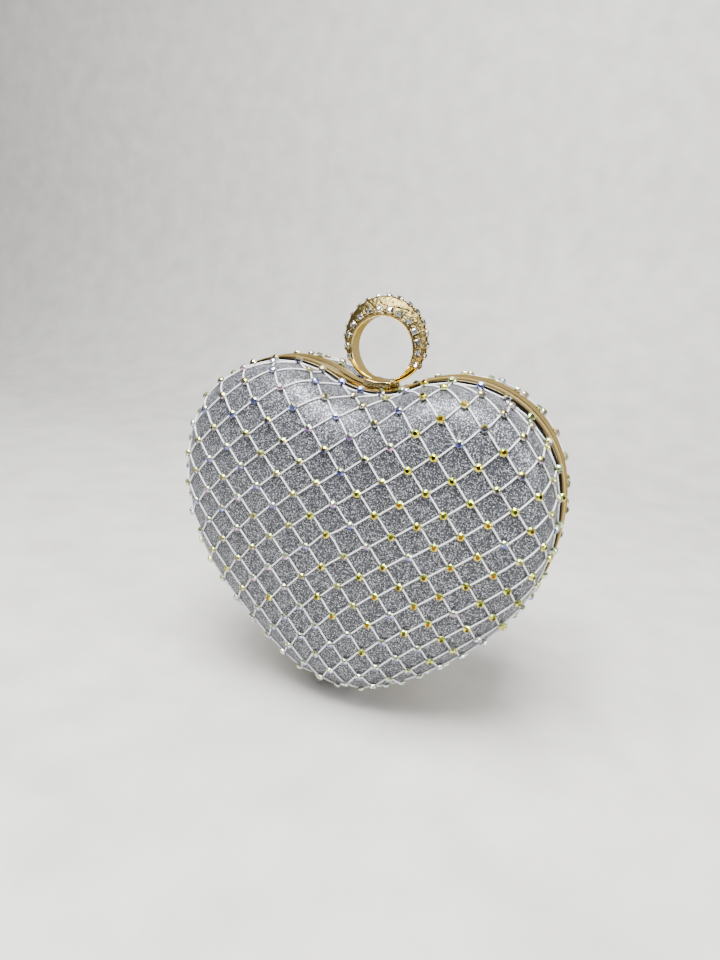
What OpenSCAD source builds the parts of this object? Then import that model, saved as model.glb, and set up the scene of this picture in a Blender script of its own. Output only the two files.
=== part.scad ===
// Heart shaped evening clutch. Two domed half shells are dressed in glitter cloth
// and a netting of stones, and close in a gilt frame with a finger ring clasp.
// The origin is the centre of the finger ring, with +Y to the back and +Z up.

/* [Heart outline] */
// Sideways distance from the middle to the centre of a lobe
lobe_x = 33.75; // [32:0.25:35]
// Height of the lobe centres above the heart's centre
lobe_z = 10.85; // [9:0.05:13]
// Radius of each lobe
lobe_r = 39.4; // [38:0.1:41]
// Direction in degrees where a lobe passes into the side
lobe_end = 13.7; // [11:0.1:17]
// Radius of each side
side_r = 68.6; // [64:0.2:74]
// Direction in degrees where a side passes into the flank
side_end = -36.4; // [-40:0.2:-33]
// Radius of each flank
flank_r = 128; // [120:1:140]
// Radius of the tip
tip_r = 41; // [38:1:44]
// Radius of the hollow between the lobes
cleft_r = 33.6; // [31:0.2:37]

/* [Dome] */
// Depth of each dome from the frame to its crown
dome_h = 29.6; // [26:0.2:33]
// Height of the middle of the dome against the heart's centre
dome_mid = -8.4; // [-10:0.2:-6]
// Radius that the level lines take near the crown
crown_r = 61; // [58:0.5:64]
// Power that rounds the shoulder of the dome
shoulder_share = 0.79; // [0.7:0.01:0.9]
// Power that swells the wall of the dome
swell_share = 0.5; // [0.45:0.01:0.6]
// How soon the level lines leave the heart's shape
heart_share = 0.336; // [0.25:0.001:0.45]

/* [Shell layers] */
// Step from the frame's edge in to the cloth
cloth_inset = 1.2; // [1:0.05:1.4]
// Thickness of the glitter cloth
cloth_t = 0.8; // [0.6:0.05:1]
// Wall of the moulded shell
shell_t = 1.8; // [1.5:0.1:2.4]
// Thickness of the lining
lining_t = 0.7; // [0.5:0.05:1]
// Glue line between two layers
glue_t = 0.15; // [0.1:0.01:0.2]

/* [Frame] */
// Depth of each half of the frame
frame_d = 7.2; // [6:0.1:8]
// Wall of the frame
frame_wall = 1.4; // [1.2:0.05:1.8]
// Swell of the frame's outer face
frame_crown = 0.7; // [0.4:0.05:0.9]
// Gap of the closed seam
seam_gap = 0.3; // [0.2:0.05:0.5]
// Width of the flange that carries a shell
flange_w = 5; // [4.8:0.05:5.6]
// Thickness of the flange
flange_t = 1.4; // [1:0.05:2]
// Thickness of the locating lip inside the seam
lip_t = 0.8; // [0.6:0.05:1]
// Height of the locating lip past the seam
lip_h = 1.5; // [1:0.1:2]
// Clearance around the locating lip
lip_clear = 0.3; // [0.25:0.05:0.4]
// Thickness of the frame behind the hinge and the clasp
boss_t = 4.1; // [3.9:0.05:4.6]
// Width of the gutter between the cloth and the frame's rim
gutter_w = 0.7; // [0.5:0.05:0.9]
// Depth of the gutter
gutter_d = 1; // [0.6:0.1:1.2]

/* [Netting] */
// Width of a thread
thread_w = 0.8; // [0.6:0.05:1.2]
// Height of a thread's ridge
thread_h = 0.8; // [0.6:0.05:1.2]
// Flat place of the first knot from the middle of the dome
knot_start = [37.02, 6.67]; // [-60:0.01:60]
// Flat step between knots along the falling threads
fall_step = [6.31, -6.24]; // [-12:0.01:12]
// Flat step between knots along the rising threads
rise_step = [8.39, 5.35]; // [-12:0.01:12]
// Change of the falling step from knot to knot
fall_drift = [-0.15, 0.048]; // [-0.5:0.001:0.5]
// Change of the rising step from knot to knot
rise_drift = [-0.065, -0.026]; // [-0.5:0.001:0.5]
// Change of either step along the other threads
cross_drift = [0.001, 0.005]; // [-0.5:0.001:0.5]
// Bend of the falling threads, and of the same along the rising threads
fall_bend = [-0.0076, 0.0027]; // [-0.05:0.0001:0.05]
fall_cross_bend = [-0.0016, 0.0149]; // [-0.05:0.0001:0.05]
// Bend of the rising threads, and of the same along the falling threads
rise_bend = [-0.0197, 0.0093]; // [-0.05:0.0001:0.05]
rise_cross_bend = [0.0093, -0.0066]; // [-0.05:0.0001:0.05]
// Clearance under a thread
thread_clear = 0.3; // [0.25:0.05:0.5]
// Height above the frame at which the threads end
net_edge_h = 3.6; // [3.5:0.1:4.5]
// Least length of a thread's end past its last knot
end_min = 1.6; // [1.5:0.1:2.4]
// Least distance between a knot and a stone on the border
knot_apart = 5; // [4.5:0.1:6]
// Radius of the border cord
cord_r = 0.6; // [0.5:0.05:0.9]
// Height of the border cord's centre above the frame
cord_h = 1.3; // [1.1:0.05:1.6]

/* [Stones] */
// Radius of a net stone
stone_r = 1.6; // [1.2:0.05:1.7]
// Height of a net stone with its setting
stone_h = 1.3; // [1:0.05:1.8]
// Distance between the stones along the border
edge_pitch = 9.6; // [8:0.1:12]
// Radius of a ring stone
gem_r = 1.25; // [1:0.05:1.4]
// Height of a ring stone
gem_h = 0.9; // [0.7:0.05:1.2]
// Number of stones in a row on a flank of the ring
flank_gems = 14; // [12:1:16]
// Number of stones in the row on the crest of the ring
crest_gems = 17; // [12:1:20]

/* [Finger ring] */
// Radius of the finger hole
bore_r = 12; // [11.5:0.1:12.5]
// Width of the ring at the finger hole
ring_w = 7.5; // [7:0.1:8]
// Height of the ring's centre above the hollow of the heart
ring_rise = 15.05; // [15:0.05:15.5]
// Distance of the ring's middle behind the seam
ring_back = 2.6; // [2.4:0.05:2.8]
// Radius of the crest's circle
crest_r = 16.2; // [16:0.1:16.6]
// Height of that circle's centre above the centre of the finger hole
crest_rise = 2.8; // [2.4:0.1:3]
// Radius at which the flanks of the ring begin
brow_r = 12.9; // [12.6:0.1:13.2]
// Width of the ring where its flanks begin
brow_w = 8.6; // [8:0.1:9]
// Width of the flat crest
crest_w = 2.7; // [2.6:0.1:3]
// Radius of the groove in the plain part of the ring
groove_r = 0.5; // [0.3:0.05:0.6]
// Radius of the circle of the rows of stones on the flanks
row_r = 13.9; // [13.6:0.1:14.4]
// Height of that circle's centre above the centre of the finger hole
row_rise = 0.6; // [0.4:0.1:1]
// Direction in degrees where those rows end
row_end = -20.5; // [-24:0.5:-12]
// Width added to the slope of the flanks at the top of the crest
crest_ease = 0.4; // [0.2:0.1:1]
// Half angle in degrees of the gap that the base fills
foot_angle = 28; // [26:1:30]
// Direction in degrees where the row of stones on the crest ends
gem_end = -29; // [-32:1:-20]

/* [Clasp] */
// Width of the ring's base
base_w = 11; // [10.4:0.1:11.4]
// Reach of the base in front of the seam
base_front = 3.8; // [3.4:0.1:4]
// Height of the base's underside above the hollow of the heart
base_under = 0.5; // [0.45:0.05:0.6]
// Height of the base's front block above the hollow of the heart
base_top = 3.4; // [3.2:0.1:3.6]
// Depth of the flat land under the clasp
land_drop = 1; // [0.9:0.05:1.1]
// Floor of the bracket
bracket_t = 0.6; // [0.5:0.05:0.7]
// Distance of the pivot behind the seam
pivot_y = 4.6; // [4.2:0.1:4.8]
// Height of the pivot above the hollow of the heart
pivot_h = 1.1; // [1.05:0.05:1.2]
// Radius of the pivot pin
pivot_r = 0.7; // [0.6:0.05:0.75]
// Radius of the ears and of the base's knuckle
ear_r = 1.25; // [1.2:0.05:1.3]
// Width of each ear of the bracket
ear_w = 1.2; // [1:0.05:1.4]
// Reach of the claw below the base
claw_h = 0.35; // [0.3:0.05:0.4]
// Depth of the claw from front to back
claw_d = 0.9; // [0.7:0.05:1]
// Thickness of the catch plate
catch_t = 0.6; // [0.5:0.05:0.65]
// Height of the ridge on the catch plate
catch_ridge = 0.3; // [0.2:0.05:0.35]
// Radius of the spring's wire
wire_r = 0.17; // [0.15:0.01:0.18]
// Turns of the spring
spring_turns = 3; // [2:1:4]

/* [Hinge] */
// Width of the hinge
hinge_w = 20; // [18:0.5:22]
// Number of knuckles
knuckles = 5; // [3:2:5]
// Outer radius of a knuckle
knuckle_r = 1.6; // [1.5:0.05:1.8]
// Radius of the hinge pin
pin_r = 0.75; // [0.6:0.05:0.8]
// Thickness of a leaf
leaf_t = 1; // [0.8:0.05:1.2]
// Reach of a leaf from the seam
leaf_d = 5.8; // [5:0.1:6]
// Gap between neighbouring knuckles
knuckle_gap = 0.2; // [0.15:0.05:0.3]
// Distance between the two screws of a leaf
screw_span = 12; // [10:0.5:13]
// Radius of a screw
screw_r = 0.7; // [0.6:0.05:0.8]
// Radius of a screw's head
screw_head_r = 1.3; // [1.1:0.05:1.5]
// Height of a screw's head
screw_head_h = 0.5; // [0.4:0.05:0.6]

/* [Hidden] */

// Running clearance of a pin in its hole
run_clear = 0.05;
// Air between pieces of different bodies
air = 0.3;
// Overrun of every cut
over = 1;
// Gap under a glued stone
glue_gap = 0.05;
// Facets of round pins and stones
round_fn = 24;
stone_fn = 16;
// Directions and levels of the dome's faceted skin
skin_dirs = 48;
skin_levels = 6;
// Power that crowds the levels towards the frame
level_share = 1.7;
// Steps along a line from the crown to the frame
length_steps = 28;
// Range of knots that is searched along both threads
knot_reach = 15;
// Facets of large circles
large_fn = 96;
// Deepest that a straight step may cut into a curve of the outline
step_sag = 0.15;
// Sides of the border cord
cord_sides = 5;

gilt = [0.86, 0.74, 0.5];
deep_gold = [0.83, 0.62, 0.22];
steel = [0.7, 0.7, 0.72];
silver_cloth = [0.6, 0.61, 0.65];
white_thread = [0.93, 0.93, 0.95];
lining_cloth = [0.78, 0.76, 0.74];
plastic = [0.35, 0.35, 0.37];
aurora = [0.8, 0.85, 0.55];
crystal = [0.92, 0.94, 0.97];

function ray(a) = [cos(a), sin(a)];
function angle_of(p) = atan2(p[1], p[0]);
function unit(v) = v / norm(v);

// Centres of the outline's arcs, each tangent to its neighbours
lobe_c = [lobe_x, lobe_z];
side_c = lobe_c + (lobe_r - side_r) * ray(lobe_end);
flank_c = side_c + (side_r - flank_r) * ray(side_end);
cleft_c = [0, lobe_z + sqrt(pow(lobe_r + cleft_r, 2) - pow(lobe_x, 2))];
tip_c = [0, flank_c[1] - sqrt(pow(flank_r - tip_r, 2) - pow(flank_c[0], 2))];
cleft_end = angle_of(lobe_c - cleft_c);
lobe_start = angle_of(cleft_c - lobe_c);
flank_end = angle_of(tip_c - flank_c);

// Right half of the outline from the hollow to the tip, as centre, radius, start, end,
// and 1 where the heart lies inside the arc
outline_arcs = [
    [cleft_c, cleft_r, -90, cleft_end, -1],
    [lobe_c, lobe_r, lobe_start, lobe_end, 1],
    [side_c, side_r, lobe_end, side_end, 1],
    [flank_c, flank_r, side_end, flank_end, 1],
    [tip_c, tip_r, flank_end, -90, 1]];

cleft_z = cleft_c[1] - cleft_r;
tip_z = tip_c[1] - tip_r;
ring_z = cleft_z + ring_rise;
dome_c = [0, dome_mid];

// Carries a module from the heart's frame to the part's frame
module placed() {
    translate([0, -ring_back, -ring_z]) children();
}

// Even directions along one arc, close enough together to follow its curve
function arc_steps(arc) =
    let (turn = abs(arc[3] - arc[2])) ceil(turn / (2 * acos(1 - step_sag / arc[1])));
function arc_rays(arc) =
    let (steps = arc_steps(arc))
    [for (n = [0 : steps - 1]) arc[2] + (arc[3] - arc[2]) * n / steps];

// Stations around the outline as centre, direction and signed radius
half_stations = [for (arc = outline_arcs) for (a = arc_rays(arc)) [arc[0], ray(a), arc[4], arc[1]]];
half_count = len(half_stations);
tip_station = [tip_c, ray(-90), 1, tip_r];
stations = concat(half_stations, [tip_station],
    [for (n = [half_count - 1 : -1 : 1])
        let (s = half_stations[n]) [[-s[0][0], s[0][1]], [-s[1][0], s[1][1]], s[2], s[3]]]);

// Point at station s with outward distance and depth p
function station_point(s, p) =
    let (q = s[0] + (s[3] + s[2] * p[0]) * s[1]) [q[0], -p[1], q[1]];

// Sweeps a closed section of outward distance and depth around the heart
module outline_sweep(section) {
    count = len(section);
    total = len(stations);
    polyhedron(
        points = [for (s = stations) for (p = section) station_point(s, p)],
        faces = [for (n = [0 : total - 1])
            for (m = [0 : count - 1])
                let (a = n * count, b = (n + 1) % total * count, k = (m + 1) % count)
                each [[a + m, b + m, b + k], [a + m, b + k, a + k]]]);
}

// Frame: outer wall with a swollen face, and the flange that carries the shell
swell_r = (pow(frame_d / 2, 2) + pow(frame_crown, 2)) / (2 * frame_crown);
swell_steps = 4;
seam_y = seam_gap / 2;
lip_in = frame_wall + lip_clear + lip_t;
function swell_at(y) =
    frame_crown - swell_r + sqrt(pow(swell_r, 2) - pow(y - frame_d / 2, 2));

outer_face = [for (n = [0 : swell_steps])
    let (y = seam_y + (frame_d - seam_y) * n / swell_steps) [swell_at(y), y]];
rim_u = gutter_w - cloth_inset;
gutter = [[rim_u, frame_d], [rim_u, frame_d - gutter_d], [-cloth_inset, frame_d - gutter_d],
    [-cloth_inset, frame_d]];
front_section = concat(outer_face, gutter, [
    [-flange_w, frame_d],
    [-flange_w, frame_d - flange_t],
    [-frame_wall, frame_d - flange_t],
    [-frame_wall, seam_y]]);
back_section = concat(outer_face, gutter, [
    [-flange_w, frame_d],
    [-flange_w, frame_d - flange_t],
    [-lip_in, frame_d - flange_t],
    [-lip_in, -lip_h],
    [-lip_in + lip_t, -lip_h],
    [-lip_in + lip_t, lip_h],
    [-frame_wall, lip_h],
    [-frame_wall, seam_y]]);

// Solid behind the hinge or the clasp, filling the hollow of one arc
boss_y = 2 * seam_gap;
boss_d = frame_d - flange_t / 2 - boss_y;
boss_steps = 6;

module boss(arc, half_w) {
    half_a = asin(half_w / arc[1]);
    rays = [for (n = [-boss_steps : boss_steps]) ray(-90 + half_a * n / boss_steps)];
    inner = [for (n = [2 * boss_steps : -1 : 0]) arc[0] + inset_r(arc, boss_t) * rays[n]];
    outer = [for (d = rays) arc[0] + inset_r(arc, frame_wall / 2) * d];
    translate([0, -boss_y, 0])
        rotate([90, 0, 0])
            linear_extrude(height = boss_d)
                polygon(concat(outer, inner));
}

// Hinge: leaves on a flat seat under the tip, pin below the frame
seat_half = hinge_w / 2 + air;
seat_z = tip_c[1] - sqrt(pow(tip_r, 2) - pow(seat_half, 2));
hinge_z = seat_z - knuckle_r - air;
boss_half = seat_half + boss_t / 2;
screw_y = (leaf_d + knuckle_r) / 2 + air;
screw_hole = leaf_t + boss_t / 2;

module hinge_seat() {
    translate([-seat_half, -leaf_d - air, seat_z - tip_r])
        cube([2 * seat_half, leaf_d + air + over, tip_r]);
}

module at_screws() {
    for (side = [-1, 1])
        translate([side * screw_span / 2, -screw_y, seat_z - leaf_t])
            children();
}

// Clasp: flat land in both frame halves at the hollow of the heart
land_z = cleft_z - land_drop;
land_half = base_w / 2 + air;
land_front = base_front + 2 * air;

module clasp_land(depth) {
    translate([-land_half, -depth, land_z])
        cube([2 * land_half, depth + over, land_drop + cleft_r]);
}

module frame_half(section) {
    difference() {
        union() {
            outline_sweep(section);
            boss(last_of(outline_arcs), boss_half);
            boss(outline_arcs[0], land_half + frame_wall);
        }
        hinge_seat();
        at_screws()
            cylinder(r = screw_r + run_clear, h = screw_hole, $fn = round_fn);
    }
}

module front_frame() {
    color(gilt) placed()
        difference() {
            frame_half(front_section);
            clasp_land(land_front);
        }
}

// The locating lip stops short of the front frame's solid parts at the hinge and clasp
module lip_notch(half_w, z) {
    translate([-half_w - 2 * air, -seam_y, z])
        cube([2 * half_w + 4 * air, lip_h + over, 2 * boss_t]);
}

module back_frame() {
    color(gilt) placed()
        mirror([0, 1, 0])
            difference() {
                frame_half(back_section);
                clasp_land(frame_d + over);
                lip_notch(boss_half, tip_z - over);
                lip_notch(land_half + frame_wall, cleft_z - 2 * boss_t + over);
            }
}

// Outline seen from the middle of the dome: where a ray meets the arc that it crosses
function inset_r(arc, inset) = arc[1] - arc[4] * inset;
function arc_point(arc, inset) = arc[0] + inset_r(arc, inset) * ray(arc[3]);
function last_angle(n, inset) = angle_of(arc_point(outline_arcs[n], inset) - dome_c);
function arc_hit(a, n = 0, inset = 0) =
    n < len(outline_arcs) - 1 && a < last_angle(n, inset) ? arc_hit(a, n + 1, inset) : n;
function ray_hit(a, arc, inset) =
    let (d = ray(a), m = arc[0] - dome_c, b = m * d, r = inset_r(arc, inset))
    b + arc[4] * sqrt(r * r - m * m + b * b);
function folded(a) = let (d = ray(a)) atan2(d[1], abs(d[0]));
function outline_reach(a, inset) =
    let (f = folded(a)) ray_hit(f, outline_arcs[arc_hit(f, 0, inset)], inset);

// Dome: level lines shrink from the outline and grow round towards the crown
function level_reach(reach, lift, inset) =
    let (s = pow(cos(lift), shoulder_share), w = pow(s, heart_share))
    s * (reach * w + (crown_r + cloth_inset - inset) * (1 - w));
function level_depth(lift, inset) =
    frame_d + (dome_h + cloth_inset - inset) * pow(sin(lift), swell_share);
function dome_point(a, reach, lift, inset) =
    let (r = level_reach(reach, lift, inset))
    [r * cos(a), -level_depth(lift, inset), dome_mid + r * sin(a)];
function level_lift(k, steps) = 90 * pow(k / steps, level_share);

// Closed skin of a dome between two insets from the frame's outline
function skin_side(inset) = concat(
    [for (k = [0 : skin_levels - 1])
        for (n = [0 : skin_dirs - 1])
            let (a = (n + 1 / 2) * 360 / skin_dirs)
            dome_point(a, outline_reach(a, inset), level_lift(k, skin_levels), inset)],
    [dome_point(90, crown_r, 90, inset)]);
skin_count = skin_levels * skin_dirs + 1;
function ring_at(k, n) = k * skin_dirs + n % skin_dirs;

module dome_skin(outer, inner) {
    outer_faces = concat(
        [for (k = [0 : skin_levels - 2])
            for (n = [0 : skin_dirs - 1])
                each [
                    [ring_at(k, n), ring_at(k, n + 1), ring_at(k + 1, n + 1)],
                    [ring_at(k, n), ring_at(k + 1, n + 1), ring_at(k + 1, n)]]],
        [for (n = [0 : skin_dirs - 1])
            [ring_at(skin_levels - 1, n), ring_at(skin_levels - 1, n + 1), skin_count - 1]]);
    inner_faces = [for (f = outer_faces)
        [f[2] + skin_count, f[1] + skin_count, f[0] + skin_count]];
    edge_faces = [for (n = [0 : skin_dirs - 1])
        each [
            [ring_at(0, n), skin_count + ring_at(0, n), ring_at(0, n + 1)],
            [ring_at(0, n + 1), skin_count + ring_at(0, n), skin_count + ring_at(0, n + 1)]]];
    polyhedron(points = concat(skin_side(outer), skin_side(inner)),
        faces = concat(outer_faces, inner_faces, edge_faces));
}

cloth_in = cloth_inset + cloth_t;
shell_out = cloth_in + glue_t;
shell_in = shell_out + shell_t;
lining_out = shell_in + glue_t;
lining_in = lining_out + lining_t;

module cover() { dome_skin(cloth_inset, cloth_in); }
module shell() { dome_skin(shell_out, shell_in); }
module lining() { dome_skin(lining_out, lining_in); }

module front_cover() { color(silver_cloth) placed() cover(); }
module front_shell() { color(plastic) placed() shell(); }
module front_lining() { color(lining_cloth) placed() lining(); }
module back_cover() { color(silver_cloth) placed() mirror([0, 1, 0]) cover(); }
module back_shell() { color(plastic) placed() mirror([0, 1, 0]) shell(); }
module back_lining() { color(lining_cloth) placed() mirror([0, 1, 0]) lining(); }

// Border cord on the wall of the dome, just above the frame, and the places along its
// right half that hold a stone, each with its outward way
cord_u = cord_r + glue_t - cloth_inset;
cord_y = frame_d + cord_h;
border_stops = [for (arc = outline_arcs)
    let (turn = arc[3] - arc[2], count = round(abs(turn) * PI / 180 * arc[1] / edge_pitch))
    for (n = [0 : count - 1])
        let (d = ray(arc[2] + turn * (n + 1 / 2) / count))
        [arc[0] + inset_r(arc, -cord_u) * d, arc[4] * d]];

// Netting: knots lie at even lengths along the cloth, measured from the crown
function length_table(a, reach) =
    [for (k = 0, s = 0, p = [0, level_depth(90, cloth_inset)];
        k <= length_steps;
        k = k + 1,
        lift = level_lift(length_steps - k, length_steps),
        q = [level_reach(reach, lift, cloth_inset), level_depth(lift, cloth_inset)],
        s = s + norm(q - p),
        p = q)
        [s, level_lift(length_steps - k, length_steps)]];
function last_of(list) = list[len(list) - 1];

// Point of the cloth at flat place q: direction and length from the crown
function on_cloth(q) =
    let (a = angle_of(q), reach = outline_reach(a, cloth_inset))
    dome_point(a, reach, lookup(norm(q), length_table(a, reach)), cloth_inset);
function net_length(q) =
    let (a = angle_of(q)) last_of(length_table(a, outline_reach(a, cloth_inset)))[0] - net_edge_h;
function knot_flat(i, j) = knot_start + i * fall_step + j * rise_step
    + i * i * fall_drift + i * j * cross_drift + j * j * rise_drift
    + i * i * i * fall_bend + i * i * j * fall_cross_bend
    + j * j * j * rise_bend + j * j * i * rise_cross_bend;
function stop_distance(p) =
    min([for (stop = border_stops) norm([abs(p[0]) - stop[0][0], p[1] + cord_y, p[2] - stop[0][1]])]);
function knot_in(i, j) =
    let (q = knot_flat(i, j))
    norm(q) < net_length(q) - end_min && stop_distance(on_cloth(q)) > knot_apart ? 1 : 0;

knot_span = 2 * knot_reach + 1;
knot_flags = [for (j = [-knot_reach : knot_reach])
    for (i = [-knot_reach : knot_reach])
        knot_in(i, j)];
knot_counts = [for (n = 0, c = 0; n < len(knot_flags); c = c + knot_flags[n], n = n + 1) c];
function grid_at(i, j) = (j + knot_reach) * knot_span + i + knot_reach;
function is_knot(i, j) = knot_flags[grid_at(i, j)] == 1;
function knot_at(i, j) = knot_counts[grid_at(i, j)];

// Frame of a place on the netting: point, falling way, rising way, outward way
quarter = 1 / 4;
function net_frame(q, fall, rise) =
    let (a = unit(on_cloth(q + quarter * fall) - on_cloth(q - quarter * fall)),
        b = unit(on_cloth(q + quarter * rise) - on_cloth(q - quarter * rise)))
    [on_cloth(q), a, b, unit(cross(a, b))];

// The straight thread between two knots must pass over the swell of the cloth
function thread_sag(p, q, way) =
    max(0, (on_cloth(q + way / 2) - (p + on_cloth(q + way)) / 2)
        * unit(p - [0, 0, dome_mid]));
ways = [[1, 0], [0, 1], [-1, 0], [0, -1]];
knots = [for (j = [-knot_reach : knot_reach])
    for (i = [-knot_reach : knot_reach])
        if (is_knot(i, j))
            let (q = knot_flat(i, j), f = net_frame(q, fall_step, rise_step),
                sag = max([for (w = ways)
                    is_knot(i + w[0], j + w[1])
                        ? thread_sag(f[0], q, knot_flat(i + w[0], j + w[1]) - q) : 0]))
            [i, j, q, f[0] + (thread_clear + sag) * f[3], f[1], f[2], f[3]]];

// Ends of the threads that run from the last knots to the border
function end_place(k, w) =
    let (q = k[2], far = knot_flat(k[0] + w[0], k[1] + w[1]),
        room = net_length(q) - norm(q), past = norm(far) - net_length(far))
    q + (far - q) * room / (room + max(past, 0));
thread_ends = [for (n = [0 : len(knots) - 1])
    for (d = [0 : 3])
        if (!is_knot(knots[n][0] + ways[d][0], knots[n][1] + ways[d][1]))
            [n, d, net_frame(end_place(knots[n], ways[d]), fall_step, rise_step)]];

function knot_points(k) =
    let (a = k[4] * thread_w / 2, b = k[5] * thread_w / 2)
    [k[3] + a + b, k[3] - a + b, k[3] - a - b, k[3] + a - b, k[3] + thread_h * k[6]];
function end_points(e) =
    let (f = e[2], p = f[0] + thread_clear * f[3],
        side = [f[2], -f[1], -f[2], f[1]][e[1]] * thread_w / 2)
    [p + side, p - side, p + thread_h * f[3]];

// Three long faces of a thread from its left, right and ridge corners at both ends
function thread_faces(p, q) = [
    [p[0], q[0], q[2]], [p[0], q[2], p[2]],
    [p[1], p[2], q[2]], [p[1], q[2], q[1]],
    [p[1], q[1], q[0]], [p[1], q[0], p[0]]];
function knot_end(n, d) = [5 * n + d, 5 * n + (d + 3) % 4, 5 * n + 4];
function far_end(n, d) = [5 * n + (d + 1) % 4, 5 * n + (d + 2) % 4, 5 * n + 4];

module net() {
    knot_total = len(knots);
    floors = [for (n = [0 : knot_total - 1])
        each [[5 * n, 5 * n + 1, 5 * n + 2], [5 * n, 5 * n + 2, 5 * n + 3]]];
    threads = [for (n = [0 : knot_total - 1])
        for (d = [0, 1])
            let (i = knots[n][0] + ways[d][0], j = knots[n][1] + ways[d][1])
            if (is_knot(i, j))
                each thread_faces(knot_end(n, d), far_end(knot_at(i, j), d))];
    ends = [for (m = [0 : len(thread_ends) - 1])
        let (e = thread_ends[m], base = 5 * knot_total + 3 * m,
            tail = [base, base + 1, base + 2])
        each concat(thread_faces(knot_end(e[0], e[1]), tail), [tail])];
    polyhedron(
        points = concat([for (k = knots) each knot_points(k)],
            [for (e = thread_ends) each end_points(e)]),
        faces = concat(floors, threads, ends));
}

module front_net() { color(white_thread) placed() net(); }
module back_net() { color(white_thread) placed() mirror([0, 1, 0]) net(); }

module border_cord() {
    outline_sweep([for (n = [0 : cord_sides - 1])
        [cord_u, cord_y] + cord_r * ray((n + 1 / 2) * 360 / cord_sides)]);
}

module front_border_cord() { color(white_thread) placed() border_cord(); }
module back_border_cord() { color(white_thread) placed() mirror([0, 1, 0]) border_cord(); }

// Stone: a round setting, a girdle and a cut crown with its table
girdle_share = 0.45;
table_share = 0.55;
foot_share = 0.85;

module cut_stone(r, h) {
    rotate_extrude($fn = stone_fn)
        polygon([[0, 0], [foot_share * r, 0], [r, girdle_share * h / 2], [r, girdle_share * h],
            [table_share * r, h], [0, h]]);
}

// Stands children on place p, upright along the way out
module stood(p, out) {
    translate(p)
        rotate([0, acos(out[2]), atan2(out[1], out[0])])
            children();
}

module net_stones() {
    for (k = knots)
        stood(k[3] + (thread_h + glue_gap) * k[6], k[6])
            cut_stone(stone_r, stone_h);
}

module front_net_stones() { color(aurora) placed() net_stones(); }
module back_net_stones() { color(aurora) placed() mirror([0, 1, 0]) net_stones(); }

// Border stones stand on the cord, turned half way between outward and forward
edge_lean = sqrt(1 / 2);

module edge_stones() {
    for (side = [0, 1])
        mirror([side, 0, 0])
            for (stop = border_stops) {
                out = edge_lean * [stop[1][0], -1, stop[1][1]];
                stood([stop[0][0], -cord_y, stop[0][1]] + (cord_r + glue_gap) * out, out)
                    cut_stone(stone_r, stone_h);
            }
}

module front_edge_stones() { color(aurora) placed() edge_stones(); }
module back_edge_stones() { color(aurora) placed() mirror([0, 1, 0]) edge_stones(); }

// Hinge leaves, screwed to the flat seats, with knuckles turned about the pin
knuckle_l = (hinge_w - (knuckles - 1) * knuckle_gap) / knuckles;

module hinge_leaf(first) {
    difference() {
        union() {
            translate([-hinge_w / 2, -leaf_d, seat_z - leaf_t])
                cube([hinge_w, leaf_d - knuckle_r - air, leaf_t]);
            for (n = [first : 2 : knuckles - 1])
                translate([n * (knuckle_l + knuckle_gap) - hinge_w / 2, 0, 0]) {
                    translate([0, 0, hinge_z])
                        rotate([0, 90, 0])
                            cylinder(r = knuckle_r, h = knuckle_l, $fn = round_fn);
                    translate([0, -knuckle_r - 2 * air, seat_z - leaf_t])
                        cube([knuckle_l, knuckle_r + 2 * air, leaf_t]);
                }
        }
        translate([-hinge_w / 2 - over, 0, hinge_z])
            rotate([0, 90, 0])
                cylinder(r = pin_r + run_clear, h = hinge_w + 2 * over, $fn = round_fn);
        at_screws()
            translate([0, 0, -over])
                cylinder(r = screw_r + run_clear, h = leaf_t + 2 * over, $fn = round_fn);
    }
}

module hinge_screws() {
    at_screws() {
        cylinder(r = screw_r, h = screw_hole - run_clear, $fn = round_fn);
        translate([0, 0, -screw_head_h])
            cylinder(r = screw_head_r, h = screw_head_h, $fn = round_fn);
    }
}

module front_hinge_leaf() { color(gilt) placed() hinge_leaf(1); }
module back_hinge_leaf() { color(gilt) placed() mirror([0, 1, 0]) hinge_leaf(0); }
module front_hinge_screws() { color(gilt) placed() hinge_screws(); }
module back_hinge_screws() { color(gilt) placed() mirror([0, 1, 0]) hinge_screws(); }

pin_head_r = (pin_r + knuckle_r) / 2;
pin_head_h = pin_r / 2;

module hinge_pin() {
    color(steel) placed()
        translate([0, 0, hinge_z])
            rotate([0, 90, 0]) {
                cylinder(r = pin_r, h = hinge_w + 2 * run_clear, center = true, $fn = round_fn);
                for (side = [0, 1])
                    mirror([0, 0, side])
                        translate([0, 0, hinge_w / 2 + run_clear])
                            cylinder(r = pin_head_r, h = pin_head_h, $fn = round_fn);
            }
}

// Clasp bracket: a floor on the land of the back frame and two ears for the pivot
pivot_z = cleft_z + pivot_h;
floor_z = land_z + bracket_t;
ear_x = base_w / 2 - ear_w;
bracket_y = seam_gap / 2;
bracket_d = frame_d - bracket_y;

module ears() {
    for (side = [0, 1])
        mirror([side, 0, 0])
            translate([ear_x, pivot_y, 0]) {
                translate([0, 0, pivot_z])
                    rotate([0, 90, 0])
                        cylinder(r = ear_r, h = ear_w, $fn = round_fn);
                translate([0, -ear_r, land_z])
                    cube([ear_w, 2 * ear_r, pivot_z - land_z]);
            }
}

module pivot_hole(r, half_w) {
    translate([-half_w, pivot_y, pivot_z])
        rotate([0, 90, 0])
            cylinder(r = r, h = 2 * half_w, $fn = round_fn);
}

module clasp_bracket() {
    color(gilt) placed()
        difference() {
            union() {
                translate([-base_w / 2, bracket_y, land_z])
                    cube([base_w, bracket_d, bracket_t]);
                ears();
            }
            pivot_hole(pivot_r + run_clear, base_w);
        }
}

module clasp_pin() {
    color(steel) placed()
        pivot_hole(pivot_r, base_w / 2);
}

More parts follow.
